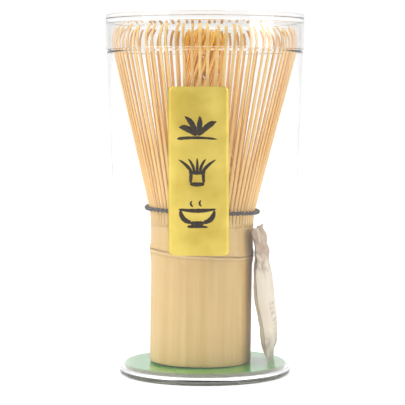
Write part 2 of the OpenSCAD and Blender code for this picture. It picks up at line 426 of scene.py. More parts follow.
def effect_group(
    name: str, direction: Direction, inputs: dict[str, float]
) -> tuple[Painter, Node, Node, Socket]:
    """Starts a shader node group that gives one mask over the stretched object.

    Args:
        name: the group's name.
        direction: the stretch.
        inputs: each input and its usual value.

    Returns:
        A painter for the group, its input node, its output node and the stretched places.
    """
    tree = bpy.data.node_groups.new(name, "ShaderNodeTree")
    for key, value in inputs.items():
        socket = tree.interface.new_socket(key, in_out="INPUT", socket_type="NodeSocketFloat")
        socket.default_value = value
    tree.interface.new_socket("Mask", in_out="OUTPUT", socket_type="NodeSocketFloat")
    paint = Painter(tree)
    given, result = tree.nodes.new("NodeGroupInput"), tree.nodes.new("NodeGroupOutput")
    place = paint.node("TexCoord", {}).outputs["Object"]
    stretched = paint.node("Mapping", {"Vector": place, "Scale": direction.value}).outputs[0]
    return paint, given, result, stretched


def streaks(name: str, direction: Direction) -> NodeTree:
    """An effect of soft streaks or clouds: fractal noise, stretched one way over the object.

    Args:
        name: the group's name.
        direction: the stretch.

    Returns:
        The group, whose inputs are Scale, in repeats to the metre, Detail and Contrast.
    """
    usual = {"Scale": 500.0, "Detail": 3.0, "Contrast": 1.0}
    paint, given, result, stretched = effect_group(name, direction, usual)
    inputs = {
        "Vector": stretched, "Scale": given.outputs["Scale"], "Detail": given.outputs["Detail"]
    }
    noise = paint.node("TexNoise", inputs).outputs[0]
    spread = paint.maths("MULTIPLY", paint.maths("SUBTRACT", noise, 0.5), given.outputs["Contrast"])
    paint.feed(result.inputs[0], paint.node("Math", {0: spread, 1: 0.5}, use_clamp=True).outputs[0])
    return paint.tree


def specks(name: str, direction: Direction) -> NodeTree:
    """An effect of small scattered marks: spots of a cell pattern that a second noise lets through.

    Args:
        name: the group's name.
        direction: the stretch.

    Returns:
        The group, whose inputs are Scale, in cells to the metre, Size and Share.
    """
    usual = {"Scale": 900.0, "Size": 0.25, "Share": 0.4}
    paint, given, result, stretched = effect_group(name, direction, usual)
    cells = paint.node("TexVoronoi", {"Vector": stretched, "Scale": given.outputs["Scale"]})
    spot = paint.maths("SUBTRACT", given.outputs["Size"], cells.outputs["Distance"])
    edge = paint.node("Math", {0: spot, 1: 12.0}, operation="MULTIPLY", use_clamp=True).outputs[0]
    tint = paint.node("SeparateColor", {0: cells.outputs["Color"]}).outputs[0]
    chosen = paint.maths("LESS_THAN", tint, given.outputs["Share"])
    paint.feed(result.inputs[0], paint.maths("MULTIPLY", edge, chosen))
    return paint.tree


FIBRES = streaks("Lengthwise fibres", Direction.UP_THE_CULM)
MOTTLE = streaks("Mottling", Direction.EVEN)
BANDS = streaks("Cross bands", Direction.ROUND_THE_CULM)
SPECKS = specks("Specks", Direction.EVEN)
NICKS = specks("Lengthwise nicks", Direction.UP_THE_CULM)


@dataclass(frozen=True)
class Finish:
    """What every finish shares: its name and its gloss."""

    name: str
    roughness: float = 0.45
    specular: float = 0.5

    def material(self) -> bpy.types.Material:
        """Makes the material: the pattern is the finish's own, the gloss is set here."""
        material = bpy.data.materials.new(self.name)
        material.use_nodes = True
        surface = material.node_tree.nodes["Principled BSDF"]
        surface.inputs["Specular IOR Level"].default_value = self.specular
        surface.inputs["Roughness"].default_value = self.roughness
        self.dress(Painter(material.node_tree), surface)
        return material

    def dress(self, paint: Painter, surface: Node) -> None:
        """Adds the finish's own pattern.

        Args:
            paint: the material's painter.
            surface: its Principled node.
        """
        raise NotImplementedError


@dataclass(frozen=True)
class CulmFinish(Finish):
    """What the culm's skin and the roots of the tines share: its streaked and clouded colour."""

    pale: Colour = from_screen(226, 196, 134)
    honey: Colour = from_screen(204, 168, 96)
    blush: Colour = from_screen(214, 172, 114)
    scar: Colour = from_screen(122, 84, 48)

    def skin(self, paint: Painter, fibre: Socket, broad: Socket) -> Socket:
        """The skin's colour.

        Args:
            paint: the material's painter.
            fibre: the mask of the fine fibres.
            broad: the mask of the broad streaks.

        Returns:
            The colour: pale with honey streaks, a blush in clouds, and a few dark nicks.
        """
        cloud = paint.effect(MOTTLE, Scale=60.0, Detail=3.0, Contrast=2.6)
        nick = paint.effect(NICKS, Scale=1100.0, Size=0.16, Share=0.1)
        colour = paint.blend(broad, self.pale, self.honey)
        colour = paint.wash(colour, self.blush, cloud, 0.5)
        colour = paint.wash(colour, self.honey, fibre, 0.3)
        return paint.wash(colour, self.scar, nick, 0.3)


@dataclass(frozen=True)
class CulmSkin(CulmFinish):
    """The smooth, dried skin of the culm, with its scar at the node and its bare cut faces."""

    bloom: Colour = from_screen(226, 200, 156)
    end_grain: Colour = from_screen(210, 172, 116)

    def dress(self, paint: Painter, surface: Node) -> None:
        """Fibres and clouds of colour, a dark scar, a pale bloom beside it and dotted cut faces."""
        fibre = paint.effect(FIBRES, Scale=2600.0, Detail=4.0, Contrast=2.2)
        broad = paint.effect(FIBRES, Scale=420.0, Detail=2.0, Contrast=2.0)
        cloud = paint.effect(MOTTLE, Scale=60.0, Detail=3.0, Contrast=2.6)
        colour = self.skin(paint, fibre, broad)
        pores = paint.effect(SPECKS, Scale=2600.0, Size=0.3, Share=0.7)
        bare = paint.wash(self.end_grain, self.scar, pores, 0.75)
        colour = paint.blend(paint.attribute("cut"), colour, bare)
        colour = paint.blend(paint.attribute("bloom"), colour, self.bloom)
        ragged = paint.maths("MULTIPLY", paint.attribute("scar"), paint.span(broad, 1.0, 0.5))
        colour = paint.blend(ragged, colour, self.scar)
        paint.feed(surface.inputs["Base Color"], colour)
        rough = paint.span(
            paint.maths("ADD", fibre, cloud), self.roughness - 0.06, self.roughness + 0.05
        )
        paint.feed(
            surface.inputs["Roughness"], paint.maths("ADD", rough, paint.span(ragged, 0.0, 0.25))
        )
        relief = paint.maths("ADD", fibre, paint.maths("MULTIPLY", broad, 1.5))
        paint.feed(surface.inputs["Normal"], paint.bump(relief, 0.000035))


@dataclass(frozen=True)
class SplitBamboo(CulmFinish):
    """Split and scraped tines: culm colour at the root, which changes along each tine."""

    blade: Colour = from_screen(248, 205, 126)
    tip: Colour = from_screen(254, 224, 150)
    shade: Colour = from_screen(208, 150, 76)
    flesh: Colour = from_screen(224, 164, 82)

    def dress(self, paint: Painter, surface: Node) -> None:
        """Root, blade and tip colours, a tone for each tine, fine fibres, a darker inner face."""
        fibre = paint.effect(FIBRES, Scale=5200.0, Detail=4.0, Contrast=2.2)
        along = paint.attribute("along")
        tone = paint.attribute("tone")
        warm_tint = paint.effect(BANDS, Scale=260.0, Detail=3.0, Contrast=2.4)
        broad = paint.effect(FIBRES, Scale=420.0, Detail=2.0, Contrast=2.0)
        root = self.skin(paint, paint.effect(FIBRES, Scale=2600.0, Detail=4.0, Contrast=2.2), broad)
        colour = paint.blend(paint.cut(along, 0.0, 0.16), root, self.blade)
        colour = paint.blend(paint.cut(along, 0.55, 1.0), colour, self.tip)
        free = paint.cut(along, 0.0, 0.1)
        for mask, share, hue in (
            (tone, 0.5, self.shade), (fibre, 0.35, self.shade), (warm_tint, 0.18, self.flesh)
        ):
            mask = paint.maths("MULTIPLY", free, paint.span(mask, 0.0, share))
            colour = paint.blend(mask, colour, hue)
        colour = paint.wash(colour, self.flesh, paint.attribute("flesh"), 0.8)
        paint.feed(surface.inputs["Base Color"], colour)
        paint.feed(
            surface.inputs["Roughness"],
            paint.span(fibre, self.roughness - 0.05, self.roughness + 0.1),
        )
        paint.feed(surface.inputs["Normal"], paint.bump(fibre, 0.00002))


@dataclass(frozen=True)
class PliedThread(Finish):
    """Waxed cotton of two twisted plies."""

    face: Colour = from_screen(98, 93, 87)
    groove_shade: Colour = from_screen(26, 26, 28)
    fluff: Colour = from_screen(128, 118, 106)

    def dress(self, paint: Painter, surface: Node) -> None:
        """Slanted plies from the thread's own lengths, with painted shade in the valleys between
        them and a few light hairs.
        """
        ply = paint.attribute("ply")
        hair = paint.effect(MOTTLE, Scale=9000.0, Detail=2.0, Contrast=3.0)
        # The valleys between the plies are painted near black as shade.
        colour = paint.blend(ply, self.groove_shade, self.face)
        colour = paint.blend(paint.cut(hair, 0.6, 1.4), colour, self.fluff)
        paint.feed(surface.inputs["Base Color"], colour)
        paint.feed(
            surface.inputs["Roughness"], paint.span(ply, self.roughness + 0.12, self.roughness)
        )
        paint.feed(surface.inputs["Normal"], paint.bump(paint.maths("ADD", ply, hair), 0.00006))


@dataclass(frozen=True)
class ClearPlastic(Finish):
    """Clear moulded plastic: light passes for shadows, and faint scuffs dull the gloss."""

    tint: Colour = (0.995, 0.995, 0.995)
    ior: float = 1.42

    def dress(self, paint: Painter, surface: Node) -> None:
        """Glass for the eye, plain see-through for the lamps' rays, so that the whisk stays lit."""
        surface.inputs["Base Color"].default_value = (*self.tint, 1.0)
        surface.inputs["Transmission Weight"].default_value = 1.0
        surface.inputs["IOR"].default_value = self.ior
        scuff = paint.effect(NICKS, Scale=700.0, Size=0.12, Share=0.12)
        haze = paint.effect(MOTTLE, Scale=45.0, Detail=2.0, Contrast=1.6)
        dull = paint.maths(
            "ADD", paint.span(haze, 0.0, self.roughness), paint.span(scuff, 0.0, 0.12)
        )
        paint.feed(surface.inputs["Roughness"], dull)
        paint.feed(surface.inputs["Normal"], paint.bump(haze, 0.00002))
        passing = paint.node("BsdfTransparent", {"Color": (0.97, 0.975, 0.975)})
        shadow = paint.node("LightPath", {}).outputs["Is Shadow Ray"]
        mix = paint.node("MixShader", {0: shadow, 1: surface.outputs[0], 2: passing.outputs[0]})
        paint.feed(paint.tree.nodes["Material Output"].inputs["Surface"], mix.outputs[0])


@dataclass(frozen=True)
class GoldPaper(Finish):
    """Satin gold foil paper: metallic, softly cloudy, with the tooth of the paper under it."""

    gold: Colour = from_screen(234, 211, 112)
    deep: Colour = from_screen(192, 166, 72)
    shine: float = 0.8

    def dress(self, paint: Painter, surface: Node) -> None:
        """Cloudy gold, with the paper's tooth in its gloss and its relief."""
        cloud = paint.effect(MOTTLE, Scale=70.0, Detail=3.0, Contrast=3.0)
        tooth = paint.effect(MOTTLE, Scale=4200.0, Detail=3.0, Contrast=2.0)
        brushed = paint.effect(FIBRES, Scale=3000.0, Detail=2.0, Contrast=2.0)
        colour = paint.wash(self.gold, self.deep, cloud, 0.9)
        paint.feed(surface.inputs["Base Color"], paint.wash(colour, self.deep, tooth, 0.3))
        surface.inputs["Metallic"].default_value = self.shine
        paint.feed(
            surface.inputs["Roughness"],
            paint.span(tooth, self.roughness - 0.05, self.roughness + 0.08),
        )
        relief = paint.maths("ADD", tooth, brushed)
        paint.feed(surface.inputs["Normal"], paint.bump(relief, 0.000012))


@dataclass(frozen=True)
class PressInk(Finish):
    """Printed ink, nearly black and warm, which lies unevenly at the ends of its strokes."""

    ink: Colour = from_screen(42, 34, 26)
    thin: Colour = from_screen(92, 74, 40)

    def dress(self, paint: Painter, surface: Node) -> None:
        """Dark ink with a thinner, browner print here and there."""
        thin = paint.cut(paint.effect(MOTTLE, Scale=2400.0, Detail=3.0, Contrast=2.4), 0.55, 1.2)
        paint.feed(surface.inputs["Base Color"], paint.blend(thin, self.ink, self.thin))
        paint.feed(
            surface.inputs["Roughness"], paint.span(thin, self.roughness, self.roughness + 0.2)
        )


@dataclass(frozen=True)
class GreenCard(Finish):
    """Glossy green card, with the faint orange peel of its coating."""

    green: Colour = from_screen(72, 168, 66)
    dark: Colour = from_screen(52, 142, 52)
    grey_core_and_edge_shade: Colour = from_screen(138, 126, 118)

    def dress(self, paint: Painter, surface: Node) -> None:
        """Green with soft clouds, a grey side and back that are partly the card's core and partly
        painted shade at the edge, and a clear coat.
        """
        cloud = paint.effect(MOTTLE, Scale=90.0, Detail=4.0, Contrast=2.2)
        peel = paint.effect(MOTTLE, Scale=1500.0, Detail=2.0, Contrast=1.6)
        colour = paint.blend(cloud, self.green, self.dark)
        # The side and the back are grey: partly the card's own core, partly painted shade at the
        # pad's edge.
        colour = paint.wash(colour, self.grey_core_and_edge_shade, paint.attribute("cut"), 0.85)
        paint.feed(surface.inputs["Base Color"], colour)
        paint.feed(
            surface.inputs["Roughness"],
            paint.span(cloud, self.roughness - 0.06, self.roughness + 0.06),
        )
        paint.feed(surface.inputs["Normal"], paint.bump(peel, 0.000006))
        surface.inputs["Coat Weight"].default_value = 0.7
        surface.inputs["Coat Roughness"].default_value = 0.06


@dataclass(frozen=True)
class SachetPaper(Finish):
    """Thin fibrous paper with a heat-sealed margin, browner towards its crumpled top."""

    cream: Colour = from_screen(224, 212, 190)
    warm_tint: Colour = from_screen(164, 130, 98)
    fold_shade: Colour = from_screen(108, 76, 60)
    print_tint: Colour = from_screen(86, 78, 74)
    painted_green_shade: Colour = from_screen(136, 142, 106)

    def dress(self, paint: Painter, surface: Node) -> None:
        """Cream paper browner at the top, painted shade in the folds, a painted green shade near
        the foot, a knurled seal and a few small generic marks.
        """
        fibre = paint.effect(MOTTLE, Scale=1500.0, Detail=4.0, Contrast=2.4)
        cloud = paint.effect(MOTTLE, Scale=180.0, Detail=3.0, Contrast=2.6)
        high = paint.cut(paint.attribute("up"), 0.66, 0.84)
        low = paint.cut(paint.attribute("up"), 0.26, 0.04)
        colour = paint.wash(self.cream, self.warm_tint, cloud, 0.16)
        # The paper turns browner towards the crumpled top.
        colour = paint.blend(
            paint.maths("MULTIPLY", high, paint.span(cloud, 0.35, 1.0)), colour, self.warm_tint
        )
        # Painted green shade near the foot: the pad's green light and the shadow at the bottom,
        # painted on the paper.
        colour = paint.blend(
            paint.maths("MULTIPLY", low, paint.span(cloud, 0.5, 1.0)), colour, self.painted_green_shade
        )
        colour = paint.wash(colour, self.fold_shade, paint.attribute("fold"), 0.75)
        colour = paint.wash(colour, self.print_tint, paint.attribute("mark"), 0.7)
        paint.feed(surface.inputs["Base Color"], colour)
        paint.feed(
            surface.inputs["Roughness"],
            paint.span(cloud, self.roughness - 0.1, self.roughness + 0.1),
        )
        ribs = paint.node("Math", {0: paint.attribute("rib")}, operation="SINE").outputs[0]
        knurl = paint.maths("MULTIPLY", paint.attribute("seal"), ribs)
        relief = paint.maths("ADD", paint.maths("MULTIPLY", fibre, 0.35), knurl)
        paint.feed(surface.inputs["Normal"], paint.bump(relief, 0.00012))
        surface.inputs["Subsurface Weight"].default_value = 0.15
        surface.inputs["Subsurface Radius"].default_value = (0.0006, 0.0005, 0.0004)


@dataclass(frozen=True)
class GelBeads(Finish):
    """Milky drying beads, a few of them tinged blue."""

    milk: Colour = from_screen(226, 232, 236)
    blue: Colour = from_screen(150, 186, 214)

    def dress(self, paint: Painter, surface: Node) -> None:
        """Cloudy beads with a fine pitted gloss."""
        cloud = paint.effect(MOTTLE, Scale=500.0, Detail=2.0, Contrast=2.8)
        pits = paint.effect(SPECKS, Scale=4000.0, Size=0.2, Share=0.3)
        paint.feed(surface.inputs["Base Color"], paint.blend(cloud, self.milk, self.blue))
        paint.feed(
            surface.inputs["Roughness"], paint.span(pits, self.roughness, self.roughness + 0.3)
        )
        paint.feed(surface.inputs["Normal"], paint.bump(paint.span(pits, 1.0, 0.0), 0.00003))


@dataclass(frozen=True)
class StudioWhite(Finish):
    """The pale floor that the case stands on."""

    white: Colour = (0.94, 0.94, 0.94)
    glow: float = 0.3

    def dress(self, paint: Painter, surface: Node) -> None:
        """Matt white paper, lit a little from below as on a light table."""
        surface.inputs["Base Color"].default_value = (*self.white, 1.0)
        surface.inputs["Emission Color"].default_value = (1.0, 1.0, 1.0, 1.0)
        surface.inputs["Emission Strength"].default_value = self.glow


# ---------------------------------------------------------------- the case


@dataclass
class Case:
    """The clear cup and its slip-over lid, turned about the case's axis.

    The lid's and the pad's boxes give the heights. The cup widens evenly from foot_r to mouth_r:
    its radius at height z is foot_r plus the share of the way up to the step, times the widening.
    """

    foot_r: float = 27.35
    mouth_r: float = 31.0
    wall: float = 0.8
    floor_t: float = 1.2
    foot_corner: float = 1.0
    foot_ring_w: float = 2.2
    neck_r: float = 30.62
    neck_wall: float = 0.7
    panel_t: float = 1.2
    rim_h: float = 1.4
    lid_gap: float = 0.4
    skirt_r: float = 31.4
    skirt_wall: float = 0.7
    mouth_clearance: float = 0.1
    segments: int = 168

    def __post_init__(self) -> None:
        """Reads the heights of the floor, the lid and the step below the lid."""
        self.skirt_z = node_box("case_lid")[0][2]
        self.rim_z = node_box("case_lid")[1][2]
        self.panel_z = self.rim_z - self.rim_h - self.panel_t
        self.step_z = self.skirt_z - self.lid_gap
        self.floor_top = node_box("base_pad")[0][2]
        self.floor_low = self.floor_top - self.floor_t

    def radius(self, z: Array | float) -> Array | float:
        """Outer radius of the cup's body at height z."""
        share = (z - self.foot_corner) / (self.step_z - self.foot_corner)
        return self.foot_r + (self.mouth_r - self.foot_r) * share

    def cup_outline(self) -> Array:
        """The cup's section, from the middle of its underside, out and up, and down inside."""
        shoulder_z = self.step_z - 0.6
        ring_in = self.foot_r - self.foot_ring_w
        mouth = self.panel_z - self.mouth_clearance
        return rounded_outline(
            [
                (0.0, self.floor_low, 0.0),
                (ring_in - self.floor_low, self.floor_low, 0.3),
                (ring_in, 0.0, 0.25),
                (self.foot_r - 0.1, 0.0, 1.0),
                (self.mouth_r, self.step_z, 0.12),
                (self.neck_r, self.step_z, 0.12),
                (self.neck_r, mouth, 0.22),
                (self.neck_r - self.neck_wall, mouth, 0.22),
                (self.neck_r - self.neck_wall, self.step_z, 0.2),
                (self.radius(shoulder_z) - self.wall, shoulder_z, 0.2),
                (self.radius(self.floor_top) - self.wall, self.floor_top, 0.3),
                (0.0, self.floor_top, 0.0),
            ]
        )

    def lid_outline(self) -> Array:
        """The lid's section: the panel's underside, the skirt, the rim and the panel's top."""
        skirt_in = self.skirt_r - self.skirt_wall
        panel_top = self.panel_z + self.panel_t
        return rounded_outline(
            [
                (0.0, self.panel_z, 0.0),
                (skirt_in, self.panel_z, 0.15),
                (skirt_in, self.skirt_z, 0.22),
                (self.skirt_r, self.skirt_z, 0.22),
                (self.skirt_r, self.rim_z, 0.26),
                (skirt_in, self.rim_z, 0.26),
                (skirt_in, panel_top, 0.4),
                (0.0, panel_top, 0.0),
            ]
        )

    def build(self) -> None:
        """Turns the cup and the lid, and dresses them in clear plastic."""
        angles = around(self.segments)
        plans = (
            (
                "moulded_cup",
                self.cup_outline(),
                "case",
                "clear_cup",
                "case_cup",
                (0.995, 0.995, 0.993),
            ),
            (
                "moulded_lid",
                self.lid_outline(),
                "lid",
                "clear_lid",
                "case_lid",
                (0.997, 0.99, 0.978),
            ),
        )
        for name, outline, body, slot, node, tint in plans:
            shell = Shell()
            shell.lay_turned(lathe(outline, angles))
            plastic = ClearPlastic(f"{name}_plastic", roughness=0.02, tint=tint)
            hand_over(shell.build(name, plastic.material()), body, slot, node)


@dataclass
class BasePad:
    """The card disc that lies on the cup's floor, green above and grey below and round its side,
    partly as painted shade.
    """

    radius: float = 25.7
    thickness: float = 1.3
    floor_clearance: float = 0.02
    edge: float = 0.2
    segments: int = 144

    def build(self) -> None:
        """Turns a disc with rounded edges; its side and its back are grey card, darker partly as
        painted shade at the edge.
        """
        low = node_box("base_pad")[0][2] + self.floor_clearance
        high = node_box("base_pad")[1][2]
        outline = rounded_outline(
            [
                (0.0, low, 0.0),
                (self.radius, low, self.edge),
                (self.radius, high, self.edge),
                (0.0, high, 0.0),
            ]
        )
        # The side and the underside are marked for the grey colour, partly painted shade at the
        # pad's edge.
        on_side = outline[:, 1] < high - 0.5 * self.edge
        shell = Shell()
        shell.lay_turned(lathe(outline, around(self.segments)), cut=on_side[:, None].astype(float))
        card = GreenCard("glossy_green_card", roughness=0.3)
        hand_over(shell.build("green_pad", card.material()), "case", "green_card", "base_pad")


class Motif(Enum):
    """The three printed pictures, as brush strokes in a box 2 wide and 1.2 high.

    A stroke is start, bend and end, each (x, z), then its width at the start, middle and end.
    """

    BAMBOO_SPRIG = (
        ((-1.0, -0.5), (0.0, -0.38), (1.0, -0.52), 0.1, 0.07, 0.05),
        ((-0.9, 0.05), (-0.5, 0.14), (-0.04, -0.36), 0.02, 0.24, 0.06),
        ((-0.62, 0.6), (-0.2, 0.36), (-0.02, -0.34), 0.02, 0.22, 0.06),
        ((0.12, 0.62), (0.2, 0.3), (0.03, -0.34), 0.02, 0.2, 0.06),
        ((0.96, 0.34), (0.56, 0.26), (0.06, -0.36), 0.02, 0.24, 0.06),
    )
    WHISK = (
        ((-0.36, -0.6), (0.0, -0.66), (0.36, -0.6), 0.1, 0.12, 0.1),
        ((-0.33, -0.56), (-0.3, -0.3), (-0.3, -0.06), 0.08, 0.09, 0.1),
        ((0.33, -0.56), (0.3, -0.3), (0.3, -0.06), 0.08, 0.09, 0.1),
        ((-0.42, -0.02), (0.0, -0.08), (0.42, -0.02), 0.09, 0.13, 0.09),
        ((-0.28, 0.0), (-0.52, 0.36), (-0.92, 0.58), 0.1, 0.09, 0.03),
        ((-0.14, 0.02), (-0.22, 0.4), (-0.44, 0.62), 0.09, 0.08, 0.03),
        ((0.0, 0.02), (0.02, 0.36), (0.0, 0.66), 0.08, 0.08, 0.03),
        ((0.14, 0.02), (0.22, 0.4), (0.44, 0.62), 0.09, 0.08, 0.03),
        ((0.28, 0.0), (0.52, 0.36), (0.92, 0.58), 0.1, 0.09, 0.03),
    )
    TEA_BOWL = (
        ((-0.94, 0.24), (0.0, 0.1), (0.94, 0.26), 0.06, 0.14, 0.05),
        ((-0.84, 0.2), (-0.8, -0.34), (-0.3, -0.4), 0.08, 0.15, 0.12),
        ((0.84, 0.2), (0.8, -0.34), (0.3, -0.4), 0.08, 0.15, 0.12),
        ((-0.36, -0.42), (0.0, -0.48), (0.36, -0.42), 0.1, 0.13, 0.1),
        ((-0.5, -0.62), (0.0, -0.56), (0.54, -0.64), 0.08, 0.11, 0.04),
        ((-0.24, 0.66), (-0.42, 0.52), (-0.2, 0.36), 0.02, 0.08, 0.03),
        ((0.2, 0.7), (0.02, 0.54), (0.22, 0.38), 0.02, 0.08, 0.03),
    )


@dataclass
class Label:
    """The gold label on the front of the cup, with three brush pictures one above another."""

    case: Case
    width: float = 18.4
    height: float = 51.0
    turn: float = 4.0
    corner: float = 1.4
    glue: float = 0.02
    thickness: float = 0.12
    ink_t: float = 0.03
    motif_step: float = 12.9
    motif_x: float = -0.3
    motif_w: float = 12.3
    boldness: float = 1.5
    stroke_steps: int = 18

    @property
    def middle_z(self) -> float:
        """The height of the label's middle."""
        low, high = node_box("label")
        return float(low[2] + high[2]) / 2

    def on_cup(self, x: Array, z: Array, lift: float) -> Array:
        """Places label points on the cup: the depth follows the circle of the cup's radius.

        Args:
            x: distances across the label, as seen from straight in front of it.
            z: heights.
            lift: how far above the cup's surface.

        Returns:
            The points, turned with the label.
        """
        r = self.case.radius(z) + lift
        y = -np.sqrt(r * r - x * x)
        a = -math.radians(self.turn)
        return np.stack(
            [x * math.cos(a) - y * math.sin(a), x * math.sin(a) + y * math.cos(a), z], axis=-1
        )

    def slab(self, shell: Shell, x: Array, z: Array, low: float, high: float) -> None:
        """Lays a thin closed patch between two heights over the cup.

        Args:
            shell: the mesh under construction.
            x: a grid of distances across.
            z: the same grid's heights.
            low: the underside's lift.
            high: the face's lift.
        """
        shell.lay_slab(self.on_cup(x, z, high), self.on_cup(x, z, low))

    def paper(self) -> Shell:
        """A rounded rectangle: near its ends each row is shorter by the corner's circle."""
        shell = Shell()
        turn = np.linspace(0.0, np.pi / 2, 7)
        down = self.corner * (1.0 - np.cos(turn))
        inset = self.corner * (1.0 - np.sin(turn))
        straight = np.linspace(self.corner, self.height - self.corner, 26)[1:-1]
        depth = np.concatenate([down, straight, self.height - down[::-1]])
        pull = np.concatenate([inset, 0.0 * straight, inset[::-1]])
        half = self.width / 2 - pull
        x = half[:, None] * np.linspace(-1.0, 1.0, 19)
        z = self.middle_z - self.height / 2 + depth[:, None] + 0.0 * x
        self.slab(shell, x, z, self.glue, self.glue + self.thickness)
        return shell

    def strokes(self) -> Shell:
        """Brush strokes: ribbons along quadratic curves, whose width swells and thins."""
        shell = Shell()
        rng = np.random.default_rng(SEED)
        t = np.linspace(0.0, 1.0, self.stroke_steps)[:, None]
        top = self.glue + self.thickness
        for place, motif in enumerate(Motif):
            z0 = self.middle_z + (1 - place) * self.motif_step
            for start, bend, end, *widths in motif.value:
                a, b, c = (np.array(p) * self.motif_w / 2 for p in (start, bend, end))
                line = (1 - t) ** 2 * a + 2 * t * (1 - t) * b + t * t * c
                ahead = unit(np.gradient(line, axis=0))
                across = np.stack([-ahead[:, 1], ahead[:, 0]], axis=-1)
                wide = (
                    (1 - t) ** 2 * widths[0] + 2 * t * (1 - t) * widths[1] * 1.5 + t * t * widths[2]
                )
                round_end = np.sqrt(np.clip(1.0 - (2.0 * np.abs(t - 0.5)) ** 14, 0.02, 1.0))
                ragged = 1.0 + 0.06 * rng.normal(size=t.shape)
                half = wide * round_end * ragged * self.motif_w * self.boldness / 4
                ribbon = line[:, None, :] + half[:, None] * np.linspace(-1, 1, 4)[
                    None, :, None
                ] * across[:, None, :]
                self.slab(
                    shell,
                    self.motif_x + ribbon[..., 0],
                    z0 + ribbon[..., 1],
                    top + 0.01,
                    top + self.ink_t,
                )
        return shell

    def build(self) -> None:
        """Lays the label and its printed pictures."""
        gold = GoldPaper("satin_gold_paper", roughness=0.34)
        hand_over(self.paper().build("gold_label", gold.material()), "case", "label_paper", "label")
        ink = PressInk("warm_black_ink", roughness=0.5)
        piece = self.strokes().build("label_pictures", ink.material())
        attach(piece, "case")
        log.info("%s: three generic pictures", piece.name)


# ---------------------------------------------------------------- the whisk


def culm_oval(angles: Array | float) -> Array:
    """How far the culm is out of round: its radius is multiplied by this at each angle."""
    return 1.0 + 0.0035 * np.cos(2 * angles - 0.7)


@dataclass
class Stance:
    """How the whisk stands in the case: on the right-hand edge of its base, leaning a little."""

    handle_r: float = 16.1
    shift: float = 1.5
    whisk_h: float = 106.7

    def place(self, points: Array) -> Array:
        """Carries points from the whisk's own frame, with its base on z = 0, into the case."""
        lean = math.atan(self.shift / self.whisk_h)
        x = points[..., 0] - self.handle_r
        z = points[..., 2]
        right = self.handle_r - self.shift + x * math.cos(lean) + z * math.sin(lean)
        up = node_box("handle")[0][2] - x * math.sin(lean) + z * math.cos(lean)
        return np.stack([right, points[..., 1], up], axis=-1)


@dataclass
class Handle:
    """One length of culm, open at both ends, with a node and its septum near the top.

    The node's scar is tilted: its height falls along +X by the tangent of the tilt. The surface
    swells to the ridge below the scar, dips in the scar's groove and falls away above it.
    """

    stance: Stance
    radius: float = 16.1
    top_r: float = 16.25
    bore_r: float = 12.7
    height: float = 42.1
    node_z: float = 35.0
    septum_t: float = 2.0
    ridge: float = 0.45
    tilt: float = 3.1
    segments: int = 192

    def outer(self, z: Array) -> Array:
        """Radius of the skin at height z: a swelling, a groove, a second faint groove, a fall."""
        d = z - self.node_z
        grown = self.radius + (self.top_r - self.radius) * smooth_step(0.5 + d / 3.0)
        swelling = self.ridge * smooth_step((d + 4.4) / 4.2) * (1.0 - smooth_step((d - 0.15) / 2.2))
        groove = 0.12 * bell(d, 0.24) + 0.05 * bell(d + 1.25, 0.3) + 0.03 * bell(d - 0.9, 0.25)
        return grown + swelling - groove

    def build(self) -> None:
        """Turns the culm from septum to septum: down the bore, up the skin, down the upper bore."""
        edge = 0.3
        tight = 0.05
        heights = np.concatenate(
            [
                [tight * 2, edge + 0.15],
                np.linspace(1.5, self.node_z - 5.0, 16),
                np.linspace(self.node_z - 4.5, self.node_z - 1.8, 10),
                np.linspace(self.node_z - 1.6, self.node_z + 1.4, 31),
                np.linspace(self.node_z + 1.6, self.node_z + 3.0, 7),
                [self.height - 2.0, self.height - 0.6, self.height - tight],
            ]
        )
        chamfer = edge * np.clip(1.0 - heights / edge, 0.0, 1.0) * 0.8
        skin = np.stack([self.outer(heights) - chamfer, heights], axis=-1)
        low, high = self.node_z - self.septum_t / 2, self.node_z + self.septum_t / 2
        bore = self.bore_r
        lip = self.radius - edge
        inside = rounded_outline(
            [(0.0, low, 0.0), (bore, low, 1.4), (bore, 0.0, 0.12), (lip - tight, 0.0, 0.0)], 5
        )
        base = np.array([[lip, 0.0]])
        brow = np.array([[self.top_r, self.height], [self.top_r - tight, self.height]])
        well = rounded_outline(
            [
                (bore + 0.3, self.height, 0.0),
                (bore, self.height, 0.12),
                (bore, high, 0.7),
                (0.0, high, 0.0),
            ], 5
        )
        outline = np.concatenate([inside, base, skin, brow, well])
        cut = np.ones(len(outline))
        start = len(inside) + len(base)
        cut[start : start + len(skin) + 1] = 0.0
        scar = bell(outline[:, 1] - self.node_z, 0.3) + 0.3 * bell(
            outline[:, 1] - self.node_z + 1.25, 0.28
        )
        bloom = 0.3 * bell(outline[:, 1] - self.node_z + 0.6, 0.35)

        angles = around(self.segments)
        grid = lathe(outline, angles)
        near = bell(outline[:, 1] - self.node_z, 3.2)[:, None] * (cut == 0)[:, None]
        rng = np.random.default_rng(SEED + 1)
        wander = 0.16 * np.sin(2 * angles + 1.0) + 0.07 * np.sin(
            5 * angles + 2.0
        ) + 0.04 * np.sin(11 * angles)
        grid[..., 2] += (
            near * (wander - math.tan(math.radians(self.tilt)) * self.radius * np.cos(angles))
        )
        swell = culm_oval(angles) + 0.0006 * soft_noise(rng, grid, 10, 9.0)
        grid[..., :2] *= np.where(outline[:, :1] > bore + 0.5, swell, 1.0)[..., None]

        shell = Shell()
        outside = (1.0 - cut)[:, None]
        shell.lay_turned(
            self.stance.place(grid), cut=cut[:, None], scar=scar[:, None] * outside,
            bloom=bloom[:, None] * outside,
        )
        skin_finish = CulmSkin("dried_culm_skin", roughness=0.42)
        hand_over(
            shell.build("culm_handle", skin_finish.material()), "whisk", "culm_skin", "handle"
        )


